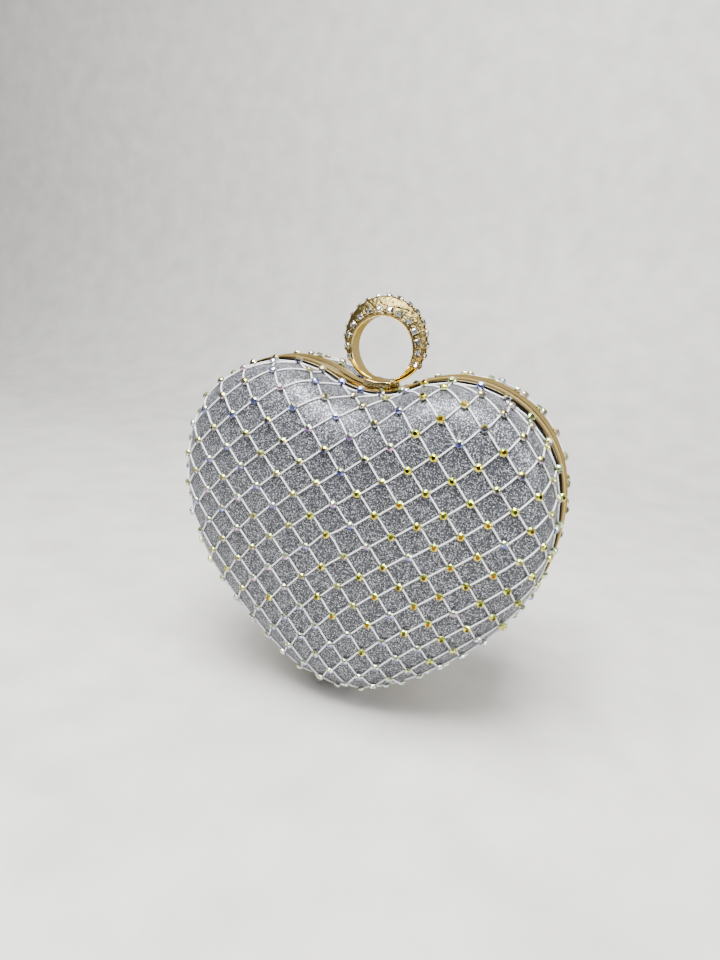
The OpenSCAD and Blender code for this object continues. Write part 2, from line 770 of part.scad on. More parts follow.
// Torsion spring: one unbroken wire wound about the pivot, with a leg on the floor
// and a leg forward into the base
coil_r = pivot_r + wire_r + 2 * run_clear;
coil_pitch = 2 * wire_r + 2 * run_clear;
coil_half = spring_turns * coil_pitch / 2;
pocket_r = coil_r + wire_r + 3 * run_clear;
pocket_half = coil_half + wire_r + 3 * run_clear;
leg_l = 2 * coil_r;
turn_steps = 9;
wire_sides = 5;

function coil_place(k) =
    let (t = k / turn_steps)
    [t * coil_pitch - coil_half, pivot_y + coil_r * cos(360 * t), pivot_z - coil_r * sin(360 * t)];
coil_path = concat(
    [coil_place(0) + [0, 0, coil_r - wire_r / 2]],
    [for (k = [0 : turn_steps * spring_turns]) coil_place(k)],
    [last_of([for (k = [0 : turn_steps * spring_turns]) coil_place(k)]) + [0, 0, wire_r - coil_r]]);

function path_way(path, n) =
    unit(path[min(n + 1, len(path) - 1)] - path[max(n - 1, 0)]);

module wire(path, r) {
    rings = [for (n = [0 : len(path) - 1])
        let (way = path_way(path, n), u = unit([1, 0, 0] - way[0] * way), v = cross(way, u))
        for (m = [0 : wire_sides - 1])
            path[n] + r * (cos(m * 360 / wire_sides) * u + sin(m * 360 / wire_sides) * v)];
    walls = [for (n = [0 : len(path) - 2])
        for (m = [0 : wire_sides - 1])
            let (a = n * wire_sides + m, b = n * wire_sides + (m + 1) % wire_sides)
            each [[a, a + wire_sides, b + wire_sides], [a, b + wire_sides, b]]];
    start = [for (m = [0 : wire_sides - 1]) m];
    finish = [for (m = [wire_sides - 1 : -1 : 0]) (len(path) - 1) * wire_sides + m];
    polyhedron(points = rings, faces = concat(walls, [start], [finish]));
}

module clasp_spring() {
    color(steel) placed()
        wire(coil_path, wire_r);
}

// Catch plate on the land of the front frame, with a low ridge for the claw
ridge_y = base_front - claw_d - 2 * air;
ridge_d = claw_d;

module catch_plate() {
    color(steel) placed() {
        translate([-base_w / 2, -base_front, land_z])
            cube([base_w, base_front - seam_gap, catch_t]);
        translate([-base_w / 2, -ridge_y, land_z])
            cube([base_w, ridge_d, catch_t + catch_ridge]);
    }
}

// Finger ring: the crest's circle stands higher than the finger hole, so that the band
// is thick at the top and thin at the foot
function crest_reach(a) =
    crest_rise * sin(a) + sqrt(crest_r * crest_r - pow(crest_rise * cos(a), 2));
foot_dir = foot_angle - 90;
flank_mid = [(brow_r + crest_r) / 2, (brow_w + crest_w) / 4];
// The flanks fall away about both axes, and the narrower of the two cones holds
crest_top = crest_r + crest_rise;
hole_slope = (brow_w - crest_w - crest_ease) / 2 / (crest_top - brow_r);
crest_slope = (brow_w - crest_w) / 2 / (crest_r - brow_r);
function flank_w(r, slope) = brow_w / 2 - slope * (r - brow_r);

module finger_hole(half_l) {
    rotate([90, 0, 0])
        cylinder(r = bore_r, h = 2 * half_l, center = true, $fn = large_fn);
}

// Turns a profile of radius and depth about the axis of the finger hole
module about_hole() {
    rotate([90, 0, 0])
        rotate_extrude($fn = large_fn)
            children();
}

// The same about the axis of the crest's circle
module about_crest() {
    translate([0, 0, crest_rise])
        about_hole()
            children();
}

module foot_wedge() {
    rotate([90, 0, 0])
        linear_extrude(height = 2 * brow_w, center = true)
            polygon([[0, 0], 2 * crest_r * ray(foot_dir), [0, -2 * crest_r],
                2 * crest_r * ray(180 - foot_dir)]);
}

// The groove runs only along the plain foot of the band
module shank_grooves() {
    intersection() {
        union() {
            for (side = [-1, 1])
                about_crest()
                    translate([flank_mid[0], side * flank_mid[1]])
                        circle(r = groove_r, $fn = round_fn);
        }
        translate([-2 * crest_r, -brow_w, -2 * crest_r])
            cube([4 * crest_r, 2 * brow_w, 2 * crest_r + crest_r * sin(gem_end)]);
    }
}

module ring_band() {
    color(gilt)
        difference() {
            intersection() {
                about_crest()
                    polygon([[bore_r / 2, -brow_w / 2], [brow_r, -brow_w / 2],
                        [crest_r, -crest_w / 2], [crest_r, crest_w / 2],
                        [brow_r, brow_w / 2], [bore_r / 2, brow_w / 2]]);
                about_hole()
                    polygon([[bore_r, -ring_w / 2], [brow_r, -brow_w / 2],
                        [crest_top + over, -flank_w(crest_top + over, hole_slope)],
                        [crest_top + over, flank_w(crest_top + over, hole_slope)],
                        [brow_r, brow_w / 2], [bore_r, ring_w / 2]]);
            }
            foot_wedge();
            shank_grooves();
        }
}

// Base: a block astride the seam whose shoulders carry the ends of the band
base_z = cleft_z + base_under - ring_z;
shoulder_out = crest_reach(foot_dir) * ray(foot_dir);
shoulder_in = (bore_r - over) * ray(foot_dir);
base_back = frame_d - ring_back;
// Width of the shoulders, as wide as the band where it meets them
shoulder_w = crest_w + (brow_w - crest_w) * (crest_r - bore_r - crest_rise) / (crest_r - brow_r);
knuckle_half = ear_x - run_clear * 3;

module base_outline() {
    polygon([[-base_w / 2, base_z], [base_w / 2, base_z], [base_w / 2, shoulder_out[1] - air],
        shoulder_out, shoulder_in, [-shoulder_in[0], shoulder_in[1]],
        [-shoulder_out[0], shoulder_out[1]], [-base_w / 2, shoulder_out[1] - air]]);
}

module ring_base() {
    pivot_back = pivot_y - ring_back;
    pivot_up = pivot_z - ring_z;
    color(deep_gold)
        difference() {
            union() {
                difference() {
                    union() {
                        rotate([90, 0, 0])
                            linear_extrude(height = shoulder_w, center = true)
                                base_outline();
                        translate([-base_w / 2, -base_front - ring_back, base_z])
                            cube([base_w, base_front + ring_back + base_back,
                                base_top - base_under]);
                        translate([-base_w / 2, -base_front - ring_back, base_z - claw_h])
                            cube([base_w, claw_d, claw_h + over]);
                    }
                    translate([-base_w, pivot_back, pivot_up])
                        rotate([0, 90, 0])
                            cylinder(r = ear_r + air, h = 2 * base_w, $fn = round_fn);
                    translate([-base_w, pivot_back - ear_r - air, base_z - over])
                        cube([2 * base_w, 2 * base_back, pivot_up - base_z + over]);
                }
                translate([-knuckle_half, pivot_back, pivot_up])
                    rotate([0, 90, 0])
                        cylinder(r = ear_r, h = 2 * knuckle_half, $fn = round_fn);
                translate([-knuckle_half, pivot_back - 2 * ear_r, base_z])
                    cube([2 * knuckle_half, 2 * ear_r, base_top - base_under - air]);
            }
            finger_hole(2 * ring_w);
            translate([-base_w, pivot_back, pivot_up])
                rotate([0, 90, 0])
                    cylinder(r = pivot_r + run_clear, h = 2 * base_w, $fn = round_fn);
            translate([-pocket_half, pivot_back, pivot_up])
                rotate([0, 90, 0])
                    cylinder(r = pocket_r, h = 2 * pocket_half, $fn = round_fn);
        }
}

// Rows of stones: one on the crest, and one on each flank close to the finger hole
function gem_angle(n, count, end) = end + n * (180 - 2 * end) / (count - 1);

module set_gem(p, out) {
    stood(p + glue_gap * out, out)
        cut_stone(gem_r, gem_h);
}

module flank_row(side) {
    for (n = [0 : flank_gems - 1]) {
        p = [0, row_rise] + row_r * ray(gem_angle(n, flank_gems, row_end));
        from_crest = p - [0, crest_rise];
        hole_w = flank_w(norm(p), hole_slope);
        side_w = flank_w(norm(from_crest), crest_slope);
        way = hole_w < side_w ? hole_slope * unit(p) : crest_slope * unit(from_crest);
        set_gem([p[0], side * min(hole_w, side_w), p[1]], unit([way[0], side, way[1]]));
    }
}

module ring_stones_front() { color(crystal) flank_row(-1); }
module ring_stones_back() { color(crystal) flank_row(1); }
module ring_stones_crest() {
    color(crystal)
        for (n = [0 : crest_gems - 1]) {
            d = ray(gem_angle(n, crest_gems, gem_end));
            set_gem([crest_r * d[0], 0, crest_rise + crest_r * d[1]], [d[0], 0, d[1]]);
        }
}

back_frame();
back_shell();
back_cover();
back_lining();
back_net();
back_border_cord();
back_net_stones();
back_edge_stones();
back_hinge_leaf();
back_hinge_screws();
hinge_pin();
clasp_bracket();
clasp_pin();
clasp_spring();
front_frame();
front_shell();
front_cover();
front_lining();
front_net();
front_border_cord();
front_net_stones();
front_edge_stones();
front_hinge_leaf();
front_hinge_screws();
catch_plate();
ring_band();
ring_base();
ring_stones_front();
ring_stones_crest();
ring_stones_back();
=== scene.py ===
"""Heart shaped evening clutch: gilt frame, glitter cloth, jewelled netting and a finger ring clasp.

Lengths in the making functions are millimetres in the heart's own frame (seam plane at
depth 0, heart's centre at height 0). Function placed() carries them to the part's frame."""
import math
import random

import bpy
from bpy.props import FloatProperty, FloatVectorProperty, PointerProperty
from mathutils import Matrix, Vector


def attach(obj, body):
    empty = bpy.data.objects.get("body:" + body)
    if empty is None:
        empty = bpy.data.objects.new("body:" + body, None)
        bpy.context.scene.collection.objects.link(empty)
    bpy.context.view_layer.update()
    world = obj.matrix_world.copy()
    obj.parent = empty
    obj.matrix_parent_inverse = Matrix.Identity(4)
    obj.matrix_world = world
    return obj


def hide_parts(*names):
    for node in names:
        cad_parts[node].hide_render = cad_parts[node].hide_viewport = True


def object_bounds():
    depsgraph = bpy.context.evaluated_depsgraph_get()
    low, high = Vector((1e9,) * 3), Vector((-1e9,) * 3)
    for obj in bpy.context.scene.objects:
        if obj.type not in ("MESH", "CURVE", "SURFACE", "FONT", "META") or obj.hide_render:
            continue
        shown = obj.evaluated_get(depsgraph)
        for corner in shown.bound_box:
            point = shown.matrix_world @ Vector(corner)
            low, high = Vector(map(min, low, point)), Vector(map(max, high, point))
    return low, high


bl_info = {
    "name": "Heart Evening Clutch",
    "version": (1, 0, 0),
    "blender": (4, 5, 0),
    "location": "View3D > Sidebar > Clutch",
    "description": "Builds a heart shaped evening clutch in glitter cloth and jewelled netting",
    "category": "Object",
}

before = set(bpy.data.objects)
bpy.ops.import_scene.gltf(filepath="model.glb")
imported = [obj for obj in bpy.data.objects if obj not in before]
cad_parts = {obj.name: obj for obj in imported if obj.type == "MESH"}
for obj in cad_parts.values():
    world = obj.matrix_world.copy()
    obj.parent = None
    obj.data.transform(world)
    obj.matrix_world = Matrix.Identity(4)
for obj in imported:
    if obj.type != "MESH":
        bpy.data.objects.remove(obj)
CAD_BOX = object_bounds()

MM = 0.001
SIDES = {"front": -1, "back": 1}  # way of each side along the depth
BODY = {"front": "front_half", "back": "back_half"}

# Outline of the heart, as radii and end directions of five tangent arcs from hollow to tip
LOBE = (33.75, 10.85)
LOBE_R, LOBE_END = 39.4, 13.7
SIDE_R, SIDE_END = 68.6, -36.4
FLANK_R, TIP_R, HOLLOW_R = 128.0, 41.0, 33.6

# Depth of the frame, then the domes' height, middle and crown, and the sheets over and under them
FRAME_DEPTH = 7.2
DOME_HEIGHT, DOME_MID, CROWN_R = 29.6, -8.4, 61.0
SHOULDER, SWELL, HEART_SHARE = 0.79, 0.5, 0.336
CLOTH_INSET, CLOTH_THICK = 1.2, 0.7
LINING_INSET, LINING_THICK = 4.55, 0.3
FOLDS, FOLD_DEPTH, SOFT_FOLDS, SOFT_DEPTH = 44, 0.9, 7, 0.35

# Netting: places of the knots on the flattened dome
KNOT_START = Vector((37.02, 6.67))
FALL, RISE = Vector((6.31, -6.24)), Vector((8.39, 5.35))
FALL_DRIFT, RISE_DRIFT = Vector((-0.15, 0.048)), Vector((-0.065, -0.026))
CROSS_DRIFT = Vector((0.001, 0.005))
FALL_BEND, FALL_CROSS_BEND = Vector((-0.0076, 0.0027)), Vector((-0.0016, 0.0149))
RISE_BEND, RISE_CROSS_BEND = Vector((-0.0197, 0.0093)), Vector((0.0093, -0.0066))
KNOT_REACH = 15
NET_EDGE, END_MIN, KNOT_APART = 3.6, 1.6, 5.0
THREAD_GAP, THREAD_STEP, KNOT_RUN = 0.08, 1.3, 0.85
STOP_REACH, END_SHORT = 5.5, 1.6
CORD_R, CORD_HEIGHT, CORD_DRAW = 0.6, 1.3, 1.1
EDGE_PITCH = 9.6

# Stones of the netting, and where on the flat cloth they turn yellow and blue
STONE_HEIGHT, EDGE_STONE_LIFT = 1.3, 0.62
YELLOW_X, YELLOW_Y, YELLOW_REACH, YELLOW_MOST = 36, 4, 36, 0.97
BLUE_BELOW = -26

# Gilt frame: middle and swell of its band, half widths of the ring's landing and the hinge's seat
BAND_MID, BAND_SWELL = 3.6, 0.7
LAND_W, SEAT_W = 5.8, 10.3

# Finger ring, with its bore at the part's origin; slopes are those of the flanks
RING_RISE, RING_BACK = 15.05, 2.6
BORE_R, CREST_R, CREST_RISE = 12.0, 16.2, 2.8
BROW_R, BROW_W, CREST_W, CREST_EASE = 12.9, 8.6, 2.7, 0.4
ROW_R, ROW_RISE, ROW_END = 13.9, 0.6, -20.5
GEM_END, FOOT, BASE_W = -29.0, 28.0, 11.0
CROWN_END, SHANK_END = GEM_END - 5, -72
BORE_OUT, EDGE_OUT, SHOULDER_OUT = 12.03, 12.35, 12.1
CUP_SHARE, CUP_DEPTH, CUP_SINK, BEAD_R = 1.16, 0.9, 0.36, 0.34
FLANK_GEMS, CREST_GEMS = 14, 17
RING_ROWS = ("front", "crest", "back")
CREST_TOP = CREST_R + CREST_RISE
HOLE_SLOPE = (BROW_W - CREST_W - CREST_EASE) / 2 / (CREST_TOP - BROW_R)
CREST_SLOPE = (BROW_W - CREST_W) / 2 / (CREST_R - BROW_R)

# Facets that face outwards more than this are a stone's table and its star facets
TABLE_FACING, STAR_FACING = 0.97, 0.7

# Stage, in metres
FLOOR_FRONT, FLOOR_BACK, FLOOR_DROP, FLOOR_WIDTH = -2.5, 0.35, 0.004, 6
WALL_BEND, WALL_HEIGHT = 0.25, 3
LIGHTS = (  # name, place, aim, size and power
    ("overhead", (0.0, -0.2, 0.6), (0, 0, -0.06), 0.45, 18.0),
    ("front_left", (-0.3, -0.55, 0.75), (0, 0, -0.06), 0.35, 6.0),
    ("right", (0.8, -0.2, 0.3), (0, 0, -0.05), 0.3, 5.0))

# Camera: turn, rise and roll in degrees, place in millimetres, focal length in picture heights
VIEW_TURN, VIEW_RISE, VIEW_ROLL = 20.97, 17.78, 4.37
VIEW_AWAY, VIEW_RIGHT, VIEW_UP = 267.7134, -4.3506, 5.0218
FOCAL_SHARE, SENSOR = 668.6354 / 960, 36


def ray(degrees):
    return Vector((math.cos(math.radians(degrees)), math.sin(math.radians(degrees))))


def angle_of(point):
    return math.degrees(math.atan2(point[1], point[0]))


def outline_arcs():
    """Centre, radius, start, end and sense of each arc of the right half."""
    lobe = Vector(LOBE)
    side = lobe + (LOBE_R - SIDE_R) * ray(LOBE_END)
    flank = side + (SIDE_R - FLANK_R) * ray(SIDE_END)
    hollow = Vector((0, lobe.y + math.sqrt((LOBE_R + HOLLOW_R) ** 2 - lobe.x ** 2)))
    tip = Vector((0, flank.y - math.sqrt((FLANK_R - TIP_R) ** 2 - flank.x ** 2)))
    return [
        (hollow, HOLLOW_R, -90.0, angle_of(lobe - hollow), -1),
        (lobe, LOBE_R, angle_of(hollow - lobe), LOBE_END, 1),
        (side, SIDE_R, LOBE_END, SIDE_END, 1),
        (flank, FLANK_R, SIDE_END, angle_of(tip - flank), 1),
        (tip, TIP_R, angle_of(tip - flank), -90.0, 1),
    ]


ARCS = outline_arcs()
HOLLOW_Z = ARCS[0][0].y - HOLLOW_R
TIP = ARCS[4][0]
RING_Z = HOLLOW_Z + RING_RISE


def placed(x, y, z):
    """A point of the heart's frame, in the part's frame and in metres."""
    return Vector((x * MM, (y - RING_BACK) * MM, (z - RING_Z) * MM))


def hit_reach(degrees, inset):
    """Distance from the dome's middle to the inset outline, in a direction."""
    d = ray(degrees)
    d.x = abs(d.x)
    folded = angle_of(d)
    middle = Vector((0, DOME_MID))
    for centre, radius, _, end, sense in ARCS:
        r = radius - sense * inset
        if folded >= angle_of(centre + r * ray(end) - middle) or end == -90.0:
            break
    m = centre - middle
    b = m.dot(d)
    return b + sense * math.sqrt(max(r * r - m.dot(m) + b * b, 0))


def level(reach, lift, inset):
    """Radius and depth of a level line of the dome, inset from the frame's edge."""
    s = max(math.cos(math.radians(lift)), 0.0) ** SHOULDER
    w = s ** HEART_SHARE
    out = CLOTH_INSET - inset
    depth = FRAME_DEPTH + (DOME_HEIGHT + out) * math.sin(math.radians(lift)) ** SWELL
    return s * (reach * w + (CROWN_R + out) * (1 - w)), depth


def lift_at(share):
    """Lift of a level line, with the lines closer together at the foot."""
    return 90 * share ** 1.7


def dome_point(degrees, lift, inset):
    r, depth = level(hit_reach(degrees, inset), lift, inset)
    d = ray(degrees)
    return Vector((r * d.x, -depth, DOME_MID + r * d.y))


LENGTH_STEPS = 40
length_tables = {}


def length_table(degrees):
    """Lengths along the cloth from the crown to the frame, with their lifts."""
    key = round(degrees, 3)
    if key not in length_tables:
        reach = hit_reach(key, CLOTH_INSET)
        rows, total, last = [], 0.0, Vector((0.0, level(reach, 90, CLOTH_INSET)[1]))
        for k in range(LENGTH_STEPS, -1, -1):
            lift = lift_at(k / LENGTH_STEPS)
            here = Vector(level(reach, lift, CLOTH_INSET))
            total += (here - last).length
            rows.append((total, lift))
            last = here
        length_tables[key] = rows
    return length_tables[key]


def on_cloth(q):
    """Point of the front cloth at a flat place: direction and length from the crown."""
    degrees, length = angle_of(q), q.length
    rows = length_table(degrees)
    for (s0, l0), (s1, l1) in zip(rows, rows[1:]):
        if length <= s1:
            lift = l0 + (l1 - l0) * (length - s0) / max(s1 - s0, 1e-9)
            return dome_point(degrees, lift, CLOTH_INSET)
    return dome_point(degrees, 0, CLOTH_INSET)


def room_at(q):
    """Length left on the cloth between a flat place and the netting's edge."""
    return length_table(angle_of(q))[-1][0] - NET_EDGE - q.length


def knot_flat(i, j):
    return (KNOT_START + i * FALL + j * RISE
            + i * i * FALL_DRIFT + i * j * CROSS_DRIFT + j * j * RISE_DRIFT
            + i * i * i * FALL_BEND + i * i * j * FALL_CROSS_BEND
            + j * j * j * RISE_BEND + j * j * i * RISE_CROSS_BEND)


def cloth_frame(q):
    """Point and outward way at a flat place of the netting."""
    a = (on_cloth(q + FALL / 4) - on_cloth(q - FALL / 4)).normalized()
    b = (on_cloth(q + RISE / 4) - on_cloth(q - RISE / 4)).normalized()
    return on_cloth(q), a.cross(b).normalized()


def turned(point, side):
    """Carries a point of the front half to the side that is made."""
    return placed(point.x, -SIDES[side] * point.y, point.z)


def turned_way(way, side):
    return Vector((way.x, -SIDES[side] * way.y, way.z))


# Small tools

def clear_selection():
    if bpy.context.object and bpy.context.object.mode != "OBJECT":
        bpy.ops.object.mode_set(mode="OBJECT")
    bpy.ops.object.select_all(action="DESELECT")


def take(piece):
    clear_selection()
    piece.select_set(True)
    bpy.context.view_layer.objects.active = piece


def linked(name, data):
    """A new object in the scene."""
    thing = bpy.data.objects.new(name, data)
    bpy.context.scene.collection.objects.link(thing)
    return thing


def named(name):
    piece = bpy.context.object
    piece.name = name
    piece.data.name = name
    return piece


def edit(piece, everything=True):
    """Edit mode, with all selected or only what code has selected."""
    take(piece)
    bpy.ops.object.mode_set(mode="EDIT")
    if everything:
        bpy.ops.mesh.select_all(action="SELECT")


def leave():
    bpy.ops.object.mode_set(mode="OBJECT")


def flip(piece):
    edit(piece)
    bpy.ops.mesh.flip_normals()
    leave()


def tidy_mesh(piece, merge=1e-6):
    edit(piece)
    bpy.ops.mesh.remove_doubles(threshold=merge)
    bpy.ops.mesh.normals_make_consistent(inside=False)
    leave()


def apply_modifier(piece, kind, **settings):
    take(piece)
    modifier = piece.modifiers.new(kind.title(), kind)
    for key, value in settings.items():
        setattr(modifier, key, value)
    bpy.ops.object.modifier_apply(modifier=modifier.name)


def smooth(piece, degrees=35):
    take(piece)
    bpy.ops.object.shade_smooth_by_angle(angle=math.radians(degrees))


def settle(piece):
    """Puts the object back at the origin, with its place in its mesh."""
    take(piece)
    bpy.ops.object.transform_apply(location=True, rotation=True, scale=True)


def join(first, *others):
    take(first)
    for piece in others:
        piece.select_set(True)
    bpy.ops.object.join()
    return first


def cut_away(piece, cutter, operation="DIFFERENCE"):
    apply_modifier(piece, "BOOLEAN", operation=operation, solver="MANIFOLD", object=cutter)
    bpy.data.objects.remove(cutter)


def block(name, low, high):
    """A box between two corners of the heart's frame."""
    clear_selection()
    bpy.ops.mesh.primitive_cube_add(size=1)
    piece = named(name)
    a, b = placed(*low), placed(*high)
    piece.location = (a + b) / 2
    piece.scale = [abs(n) for n in (b - a)]
    settle(piece)
    return piece


def dress(piece, finish, body, slot, *nodes):
    """Gives a piece its finish and its body, and hides the nodes that it stands for; slot is not
    used.
    """
    piece.data.materials.clear()
    piece.data.materials.append(finish_of(finish))
    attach(piece, body)
    if nodes:
        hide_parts(*nodes)


# Finishes

WHITE = (1.0, 1.0, 1.0)


def feed(tree, node, **inputs):
    """Gives each input of a node its value, or the socket that it reads."""
    for key, value in inputs.items():
        socket = node.inputs[key.replace("_", " ")]
        if isinstance(value, bpy.types.NodeSocket):
            tree.links.new(value, socket)
        else:
            socket.default_value = value
    return node


def add_node(tree, kind, **inputs):
    return feed(tree, tree.nodes.new("ShaderNode" + kind), **inputs)


def noise(tree, places, scale, detail, **inputs):
    node = add_node(tree, "TexNoise", Vector=places, Scale=scale, Detail=detail, **inputs)
    return node.outputs["Fac"]


def ramp(tree, source, stops):
    """Colour that a number picks from stops of place and colour."""
    node = add_node(tree, "ValToRGB", Fac=source)
    elements = node.color_ramp.elements
    for n, (place, colour) in enumerate(stops):
        stop = elements[n] if n < 2 else elements.new(place)
        stop.position = place
        stop.color = (*colour, 1)
    return node.outputs["Color"]


def multiplied(tree, first, second):
    node = tree.nodes.new("ShaderNodeMix")
    node.data_type, node.blend_type = "RGBA", "MULTIPLY"
    return feed(tree, node, Factor=1.0, A=first, B=second).outputs["Result"]


def spread(tree, source, **limits):
    """A number carried from one range to another."""
    return add_node(tree, "MapRange", Value=source, **limits).outputs["Result"]


def shaded(colour, share):
    return [min(c * share, 1) for c in colour]


def start_material(name):
    """New material: its tree, its shader and its places on the object."""
    material = bpy.data.materials.new(name)
    material.use_nodes = True
    tree = material.node_tree
    places = add_node(tree, "TexCoord").outputs["Object"]
    return material, tree, tree.nodes["Principled BSDF"], places


def carve(tree, shader, height, strength, depth):
    """Relief of the surface from a height."""
    bump = add_node(tree, "Bump", Strength=strength, Distance=depth, Height=height)
    feed(tree, shader, Normal=bump.outputs["Normal"])


def gold_finish(name, colour, roughness, waves=60.0, relief=0.06, depth=0.0003, seam_and_painted_light=None):
    """Plate with polishing waves, small differences in gloss and, on the frame, bands of tone by
    depth: a dark seam line, a painted highlight and painted shade.
    """
    material, tree, shader, places = start_material(name)
    cloudy = noise(tree, places, waves, 3.0)
    tone = ramp(tree, cloudy, [(0.3, shaded(colour, 0.9)), (0.7, shaded(colour, 1.05))])
    gloss = spread(tree, noise(tree, places, 900.0, 2.0),
                   To_Min=roughness * 0.8, To_Max=roughness * 1.3)
    feed(tree, shader, Metallic=1.0, Specular_Tint=(*shaded(colour, 1.25), 1), Roughness=gloss)
    # Painted light along the frame's depth: a painted highlight on the ridge and painted shade
    # towards the rim, in both the tone and the edge tint
    if seam_and_painted_light:
        deepest = seam_and_painted_light[-1][0]
        axes = add_node(tree, "SeparateXYZ", Vector=places)
        from_seam = add_node(tree, "Math", Value=axes.outputs["Y"])
        from_seam.inputs[1].default_value = RING_BACK * MM
        size = add_node(tree, "Math", Value=from_seam.outputs["Value"])
        size.operation = "ABSOLUTE"
        along = spread(tree, size.outputs["Value"], From_Max=deepest * MM)
        stops = [(d / deepest, (c, c, c)) for d, c in seam_and_painted_light]
        tone = multiplied(tree, tone, ramp(tree, along, stops))
        feed(tree, shader, Specular_Tint=tone)
    feed(tree, shader, Base_Color=tone)
    carve(tree, shader, cloudy, relief, depth)
    return material


def glitter_finish(name, colour):
    """Cloth strewn with fine metal flakes, each with its own tone and tilt; the bright and white
    flakes are painted glints.
    """
    material, tree, shader, places = start_material(name)
    flake, fleck = (
        add_node(tree, "SeparateColor", Color=add_node(
            tree, "TexVoronoi", Vector=places, Scale=scale).outputs["Color"]).outputs
        for scale in (4200.0, 8000.0))
    # Flake tones from dark to white: the brightest are painted glints
    tone = ramp(tree, flake["Red"], [
        (0.0, shaded(colour, 0.2)), (0.35, shaded(colour, 0.6)), (0.68, colour),
        (0.86, shaded(colour, 2.4)), (0.93, (0.97, 0.98, 1.0))])
    shade = ramp(tree, fleck["Green"], [(0.0, (0.55, 0.55, 0.58)), (1.0, WHITE)])
    cloud = ramp(tree, noise(tree, places, 45.0, 3.0), [(0.3, (0.93, 0.93, 0.94)), (0.7, WHITE)])
    feed(tree, shader, Base_Color=multiplied(tree, multiplied(tree, tone, shade), cloud),
         Metallic=0.45, Roughness=spread(tree, flake["Blue"], To_Min=0.28, To_Max=0.6))
    carve(tree, shader, flake["Green"], 0.75, 0.00025)
    return material


def thread_finish(name, colour):
    """Smooth white thread with a faint twist."""
    material, tree, shader, places = start_material(name)
    fibre = noise(tree, places, 1600.0, 3.0, Roughness=0.6)
    feed(tree, shader, Base_Color=ramp(tree, fibre, [(0.3, shaded(colour, 0.88)), (0.65, colour)]),
         Roughness=0.42, Sheen_Weight=0.25)
    carve(tree, shader, fibre, 0.3, 0.0002)
    return material


def satin_finish(name, colour):
    """Woven satin, with the shade of soft folds painted in its tone."""
    material, tree, shader, places = start_material(name)
    weave = add_node(tree, "TexWave", Vector=places, Scale=900.0, Distortion=0.6, Detail=1.0)
    tone = ramp(tree, noise(tree, places, 35.0, 4.0), [(0.3, shaded(colour, 0.82)), (0.7, colour)])
    feed(tree, shader, Base_Color=tone, Roughness=0.38, Sheen_Weight=0.3)
    carve(tree, shader, weave.outputs["Fac"], 0.15, 0.0001)
    return material


def stone_finish(name, roughness):
    """Foiled cut stone: every facet has its own tone, its colour with painted reflections and
    shade, kept in a colour attribute.
    """
    material, tree, shader, places = start_material(name)
    facet_colour_and_painted_light = add_node(tree, "VertexColor")
    facet_colour_and_painted_light.layer_name = "facet_colour_and_painted_light"
    shade = ramp(tree, noise(tree, places, 900.0, 2.0), [(0.35, (0.85, 0.85, 0.85)), (0.65, WHITE)])
    feed(tree, shader, Base_Color=multiplied(tree, facet_colour_and_painted_light.outputs["Color"], shade), Metallic=0.92,
         Roughness=roughness, Coat_Weight=0.2, Coat_Roughness=0.03)
    return material


def plain_finish(name, colour, roughness, metallic=0.0, grain=1200.0):
    """Moulded or cast surface with a fine grain."""
    material, tree, shader, places = start_material(name)
    fine = noise(tree, places, grain, 3.0)
    feed(tree, shader, Base_Color=ramp(tree, fine, [(0.3, shaded(colour, 0.85)), (0.7, colour)]),
         Metallic=metallic, Roughness=roughness)
    carve(tree, shader, fine, 0.1, 0.0001)
    return material


# Swept pieces

ARC_STEPS = (10, 36, 24, 16, 12)


def spun(name, points, turns, closed=True):
    """Spins a section through turns of steps, degrees and centre, with ends if it isn't closed."""
    clear_selection()
    bpy.ops.mesh.primitive_circle_add(
        vertices=len(points), radius=MM, fill_type="NOTHING" if closed else "NGON")
    piece = named(name)
    for vert, point in zip(piece.data.vertices, points):
        vert.co = point
    edit(piece)
    for steps, degrees, centre in turns:
        bpy.ops.mesh.spin(steps=steps, angle=math.radians(degrees), center=centre, axis=(0, 1, 0))
    leave()
    return piece


def outline_sweep(name, section):
    """Sweeps a closed section of outward distance and depth round the heart: one spin for
    each arc of the right half, then a mirror."""
    piece = spun(name, [placed(0, -depth, HOLLOW_Z + out) for out, depth in section], [
        (steps, end - start, placed(centre.x, 0, centre.y))
        for (centre, _, start, end, _), steps in zip(ARCS, ARC_STEPS)])
    apply_modifier(piece, "MIRROR", use_axis=(True, False, False), merge_threshold=1e-5)
    tidy_mesh(piece)
    return piece


# Tones of the frame by depth from the seam: dark seam line, painted highlight along the ridge,
# painted shade towards the rim
FRAME_SEAM_AND_PAINTED_LIGHT = [
    (0.0, 0.3), (0.25, 0.4), (0.5, 0.95), (1.8, 1.05), (2.8, 0.85), (3.8, 1.1), (4.4, 1.7),
    (4.9, 1.6), (5.4, 1.0), (6.4, 0.8), (6.8, 0.45), (7.08, 0.1), (7.5, 0.06)]
# A black strip in the gutter, shaped as the cloth's tucked edge, is painted shade for the gutter's
# shadow; its section as outward distance and depth
PAINTED_GUTTER_SHADE = [(-0.36, 6.22), (-0.36, 6.5), (-0.8, 6.55), (-0.98, 6.75), (-1.02, 7.1), (-1.18, 7.18),
        (-1.18, 6.22)]


def swell_at(depth):
    """How far the frame's band swells out at a depth."""
    r = (BAND_MID ** 2 + BAND_SWELL ** 2) / (2 * BAND_SWELL)
    return BAND_SWELL - r + math.sqrt(r * r - (depth - BAND_MID) ** 2)


